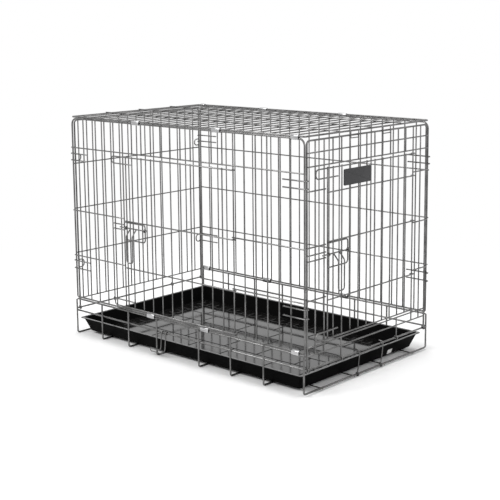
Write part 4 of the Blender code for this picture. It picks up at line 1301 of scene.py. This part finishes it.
@dataclass
class HingeClips:
    """The folded sheet-metal clips that join the grilles along their rails."""

    sheet: float = 0.0010
    length: float = 0.025
    corner_length: float = 0.020
    small_length: float = 0.0135
    small_start: float = 0.006 + SIZES.rest_gap
    corner_gap: float = 0.0153
    lip: float = 0.0055
    curl_steps: int = 10
    edge_share: float = 0.25
    seam_shares: Triple = (0.42, 0.5, 1.9)
    seam_stand: float = 0.6
    seam_edge: float = 0.15
    front_low_places: tuple[float, ...] = (0.2785, 0.4610)
    top_wires: tuple[float, ...] = (6.5, 14.5)
    back_low_wires: tuple[float, ...] = (0.5, 7.5, 15.5)

    @property
    def bore(self) -> float:
        """Radius of the middle of the sheet round a rail."""
        return SIZES.rail_bore / math.cos(math.pi / 8) + self.sheet / 2

    def curl(self, work: BMesh, last: Verts, centre: Vector) -> Verts:
        """Rolls the profile's last point half round a rail and gives the new last point."""
        made = bmesh.ops.spin(
            work, geom=last, cent=centre, axis=X_AXIS, angle=math.pi, steps=self.curl_steps, use_merge=False
        )["geom_last"]
        return only(made, bmesh.types.BMVert)

    def draw(self, work: BMesh, last: Verts, rise: float) -> Verts:
        """Draws the profile's last point straight up or down and gives the new last point."""
        made = bmesh.ops.extrude_vert_indiv(work, verts=last)["verts"]
        bmesh.ops.translate(work, verts=made, vec=(0, 0, rise))
        return made

    def clip(
        self, name: str, body: Body, ends: tuple[float, float], depth: float, heights: tuple[float, float],
        opened: bool,
    ) -> None:
        """Rolls one clip round its rails.

        Args:
            name: the CAD node that it stands for.
            body: the CAD body that it rides on.
            ends: its two ends along the crate.
            depth: the rails' place from the front to the back.
            heights: the lower and the upper rail's height.
            opened: whether it is the open clip, with a lip instead of a lower half.
        """
        low, high = heights
        work = bmesh.new()
        seed = work.verts.new((ends[0], depth + self.bore, high))
        last = self.curl(work, [seed], Vector((ends[0], depth, high)))
        last = self.draw(work, last, -self.lip if opened else low - high)
        if not opened:
            last = self.curl(work, last, Vector((ends[0], depth, low)))
            self.draw(work, last, high - low)
            bmesh.ops.remove_doubles(work, verts=work.verts, dist=10 * SAME_PLACE)
        made = bmesh.ops.extrude_edge_only(work, edges=work.edges[:])["geom"]
        bmesh.ops.translate(work, verts=only(made, bmesh.types.BMVert), vec=(ends[1] - ends[0], 0, 0))
        bmesh.ops.recalc_face_normals(work, faces=work.faces)
        bmesh.ops.solidify(work, geom=work.faces[:], thickness=self.sheet)
        bmesh.ops.recalc_face_normals(work, faces=work.faces)
        self.settle(work, depth, high)
        ease(work, sharp_edges(work), self.sheet * self.edge_share)
        if not opened:
            self.seam(work, Vector(((ends[0] + ends[1]) / 2, depth, (low + high) / 2)), ends[1] - ends[0])
        finished_piece(work, name + "_sheet", body, [name], [CLIP_FINISH], SHEET_SMOOTH)

    def settle(self, work: BMesh, depth: float, high: float) -> None:
        """Shifts the thickness so that the sheet's middle, and not its face, is at the bore."""
        reach = max(corner.co.z for corner in work.verts) - high
        excess = reach - (self.bore + self.sheet / 2)
        if abs(excess) < SAME_PLACE / 10:
            return
        for corner in work.verts:
            away = Vector((0, corner.co.y - depth, max(corner.co.z - high, 0.0)))
            if away.length > 0:
                corner.co -= away.normalized() * excess

    def seam(self, work: BMesh, middle: Vector, length: float) -> None:
        """The folded seam: a flat tongue down the clip's inner side."""
        tongue = bmesh.new()
        inward = 1 if middle.y < SIZES.depth / 2 else -1
        place = middle + inward * (self.bore + self.sheet * self.seam_stand) * Y_AXIS
        wide, deep, tall = self.seam_shares
        box(tongue, place, (length * wide, self.sheet * deep, SIZES.thick * tall))
        ease(tongue, tongue.edges[:], self.sheet * self.seam_edge)
        merge(tongue, work)

    def build(self) -> None:
        """All twelve clips, at the CAD's places."""
        half, corner_to = self.length / 2, SIZES.length - self.corner_gap
        corner = (corner_to - self.corner_length, corner_to)
        small = (self.small_start, self.small_start + self.small_length)
        base = (SIZES.base_rail_z, SIZES.panel_z)
        over = (SIZES.panel_z + SIZES.panel_height, SIZES.panel_z + SIZES.top_z)
        top, low_front, low_back = (
            [(place - half, place + half) for place in places]
            for places in (
                [SIZES.front_x(index) for index in self.top_wires],
                self.front_low_places,
                [SIZES.back_x(index) for index in self.back_low_wires],
            )
        )
        rows = (
            ("front_bottom_clip", Body.BASE, [*low_front, corner], 0.0, base, False),
            ("front_top_clip", Body.FRONT, [*top, corner], 0.0, over, False),
            ("back_bottom_clip", Body.BASE, low_back, SIZES.depth, base, False),
            ("back_top_clip", Body.TOP, [small, *top], SIZES.depth, over, True),
        )
        for name, body, places, depth, heights, opened in rows:
            for number, ends in enumerate(places, 1):
                self.clip(f"{name}_{number}", body, ends, depth, heights, opened)


@dataclass
class Badge:
    """The blank plate on the end door, and the strip behind the wires that holds it."""

    across: float = 0.1277
    width: float = 0.0965
    foot: float = 0.3473
    height: float = 0.0361
    sheet: float = 0.0025
    corner: float = 0.003
    rim: float = 0.0025
    sunk: float = 0.0004
    peg: float = 0.0027
    backing: Triple = (0.080, 0.014, 0.001)
    backing_corner: float = 0.002
    backing_edge: float = 0.0002

    def slab(self, low: Vector, high: Vector, corner: float, edge: float) -> BMesh:
        """A sheet between two corners, thin along X, with rounded corners and eased edges."""
        work = bmesh.new()
        box(work, (low + high) / 2, high - low)
        ease(work, edges_along(work, 0), corner, segments=4)
        ease(work, sharp_edges(work), edge, segments=4)
        return work

    def build(self) -> None:
        """The plate with its shallow field and pegs, and the backing strip."""
        side = Face.RIGHT.value
        inner = SIZES.door_wire_out + SIZES.thin + SIZES.rest_gap
        low = side.at(self.across, self.foot, inner)
        high = side.at(self.across + self.width, self.foot + self.height, inner + self.sheet)
        plate = self.slab(low, high, self.corner, self.sunk)
        front = max(plate.faces, key=lambda face: face.calc_area() * (face.normal.x > STRAIGHT_ON))
        for thickness in (self.rim, self.sunk):
            bmesh.ops.inset_region(plate, faces=[front], thickness=thickness, use_even_offset=True)
        bmesh.ops.translate(plate, verts=front.verts[:], vec=(-self.sunk, 0, 0))
        for place in self.peg_places():
            start = side.at(place, self.foot + self.height / 2, SIZES.door_wire_out - SIZES.thin)
            stop = side.at(place, self.foot + self.height / 2, inner + self.sheet / 2)
            bmesh.ops.create_cone(
                plate, cap_ends=True, segments=16, radius1=self.peg, radius2=self.peg,
                depth=(stop - start).length, matrix=aimed((start + stop) / 2, X_AXIS),
            )
        finished_piece(plate, "badge_plate_moulding", Body.END_DOOR, ["badge_plate"], [PLATE_FINISH])
        length, tall, thick = self.backing
        outer = SIZES.door_wire_out - SIZES.thin - SIZES.rest_gap
        across, up = self.across + (self.width - length) / 2, self.foot + (self.height - tall) / 2
        low, high = side.at(across, up, outer - thick), side.at(across + length, up + tall, outer)
        strip = self.slab(low, high, self.backing_corner, self.backing_edge)
        finished_piece(strip, "badge_backing_strip", Body.END_DOOR, ["badge_backing"], [STRIP_FINISH])

    def peg_places(self) -> list[float]:
        """Places of the two pegs, each half-way between two door wires."""
        wires = [SIZES.end_y(index) for index in range(*SIZES.end_door_span)]
        half = (wires[1] - wires[0]) / 2
        inside = [place for place in wires if self.across + half < place < self.across + self.width]
        return [(inside[0] + inside[1]) / 2, (inside[-2] + inside[-1]) / 2]


# --------------------------------------------------------------------------- studio


@dataclass(frozen=True)
class Lamp:
    """A soft square lamp that faces the crate: its place, its side length and its watts."""

    name: str
    place: Triple
    size: float
    power: float


@dataclass
class Studio:
    """Camera, lamps, floor and world of the product photograph."""

    eye: Triple = (1.8550, -2.0030, 0.8152)
    azimuth: float = 132.541
    elevation: float = -8.954
    roll: float = -0.516
    focal: float = 1126.8
    shift: float = -0.12
    image_width: float = 500.0
    sensor: float = 36.0
    lamp_target: Triple = (0, 0, 0.25)
    lamps: tuple[Lamp, ...] = (
        Lamp("key_lamp", (-1.2, -2.4, 2.6), 1.6, 70.0),
        Lamp("fill_lamp", (2.8, -0.4, 1.6), 1.4, 24.0),
        Lamp("top_lamp", (0.0, 0.6, 3.0), 2.0, 45.0),
    )
    floor_radius: float = 3.0
    floor_sides: int = 64
    floor_white: float = 0.9
    far_clip: float = 50.0
    world_grey: float = 0.8
    world_strength: float = 0.7
    floor_fade: tuple[float, float] = (0.55, 1.5)

    def place(self, name: str, data: bpy.types.ID) -> bpy.types.Object:
        """A new object in the scene."""
        made = bpy.data.objects.new(name, data)
        bpy.context.scene.collection.objects.link(made)
        return made

    def camera(self) -> None:
        """The camera at the photograph's viewing angle."""
        data = bpy.data.cameras.new("photo_camera")
        data.sensor_width = self.sensor
        data.lens = self.focal * data.sensor_width / self.image_width
        data.shift_y = self.shift
        data.clip_end = self.far_clip
        heading, rise = math.radians(self.azimuth), math.radians(self.elevation)
        aim = Vector((math.cos(rise) * math.cos(heading), math.cos(rise) * math.sin(heading), math.sin(rise)))
        camera = self.place("photo_camera", data)
        camera.matrix_world = aimed(self.eye, aim, "-Z") @ Matrix.Rotation(math.radians(self.roll), 4, "Z")
        bpy.context.scene.camera = camera

    def light(self, lamp: Lamp) -> None:
        """Hangs a lamp."""
        data = bpy.data.lights.new(lamp.name, "AREA")
        data.size = lamp.size
        data.energy = lamp.power
        heading = Vector(self.lamp_target) - Vector(lamp.place)
        self.place(lamp.name, data).matrix_world = aimed(lamp.place, heading, "-Z")

    def floor(self) -> None:
        """A pale round floor that keeps the shadow and fades into the white background."""
        disc = bmesh.new()
        bmesh.ops.create_circle(disc, cap_ends=True, segments=self.floor_sides, radius=self.floor_radius)
        mesh = bpy.data.meshes.new("studio_floor")
        disc.to_mesh(mesh)
        disc.free()
        made = self.place("studio_floor", mesh)
        mesh.materials.append(self.floor_material())

    def floor_material(self) -> bpy.types.Material:
        """White paint near the crate that turns clear towards the disc's edge."""
        material = bpy.data.materials.new("studio_floor")
        material.use_nodes = True
        bench, nodes = NodeBench(material.node_tree), material.node_tree.nodes
        nodes.remove(nodes["Principled BSDF"])
        place = bench.add("ShaderNodeTexCoord")
        length = bench.feed(bench.add("ShaderNodeVectorMath", operation="LENGTH"), place.outputs["Object"])
        near, far = self.floor_fade
        fade = bench.add("ShaderNodeMapRange", socket_From_Min=near, socket_From_Max=far)
        fade.interpolation_type = "SMOOTHSTEP"
        bench.feed(fade, length.outputs["Value"])
        paint = bench.add("ShaderNodeBsdfDiffuse", socket_Color=(*[self.floor_white] * 3, 1.0))
        clear = bench.add("ShaderNodeBsdfTransparent")
        mix = bench.add("ShaderNodeMixShader")
        bench.feed(mix, fade.outputs["Result"], paint.outputs[0], clear.outputs[0])
        bench.link(mix.outputs[0], nodes["Material Output"].inputs["Surface"])
        return material

    def world(self) -> None:
        """White for the camera, reflections and seeing through, softer grey light elsewhere."""
        world = bpy.data.worlds.new("studio_world")
        bpy.context.scene.world = world
        world.use_nodes = True
        bench, nodes = NodeBench(world.node_tree), world.node_tree.nodes
        grey = nodes["Background"]
        grey.inputs["Color"].default_value = (*[self.world_grey] * 3, 1.0)
        grey.inputs["Strength"].default_value = self.world_strength
        white = bench.add("ShaderNodeBackground", socket_Color=(1.0, 1.0, 1.0, 1.0))
        rays = bench.add("ShaderNodeLightPath")
        shown = rays.outputs["Is Camera Ray"]
        for kind in ("Is Glossy Ray", "Is Transmission Ray"):
            most = bench.add("ShaderNodeMath", operation="MAXIMUM")
            shown = bench.feed(most, shown, rays.outputs[kind]).outputs[0]
        mix = bench.feed(bench.add("ShaderNodeMixShader"), shown, grey.outputs[0], white.outputs[0])
        bench.link(mix.outputs[0], nodes["World Output"].inputs["Surface"])

    def build(self) -> None:
        """Sets up the studio."""
        self.camera()
        for lamp in self.lamps:
            self.light(lamp)
        self.floor()
        self.world()
        bpy.context.scene.view_settings.view_transform = "Standard"


def bolt_for(door: Door, body: Body, node: str) -> Bolt:
    """The bolt that slides in this door's guides."""
    return Bolt(door.face, body, node, edge=door.edge)


def main() -> None:
    """Builds the studio, and every sub-assembly in order."""
    logging.basicConfig(level=logging.INFO, format="%(message)s")
    Studio().build()
    front, end = front_door(), end_door()
    for assembly in (
        BaseFrame(),
        Tray(),
        TrayLabel(),
        TrayGate(),
        FoldHook(),
        FrontPanel(),
        BackPanel(),
        LeftEndPanel(),
        RightEndPanel(),
        TopPanel(),
        front,
        bolt_for(front, Body.FRONT_BOLT, "front_door_bolt"),
        end,
        bolt_for(end, Body.END_BOLT, "end_door_bolt"),
        Badge(),
        HingeClips(),
    ):
        assembly.build()


if __name__ == "__main__":
    main()
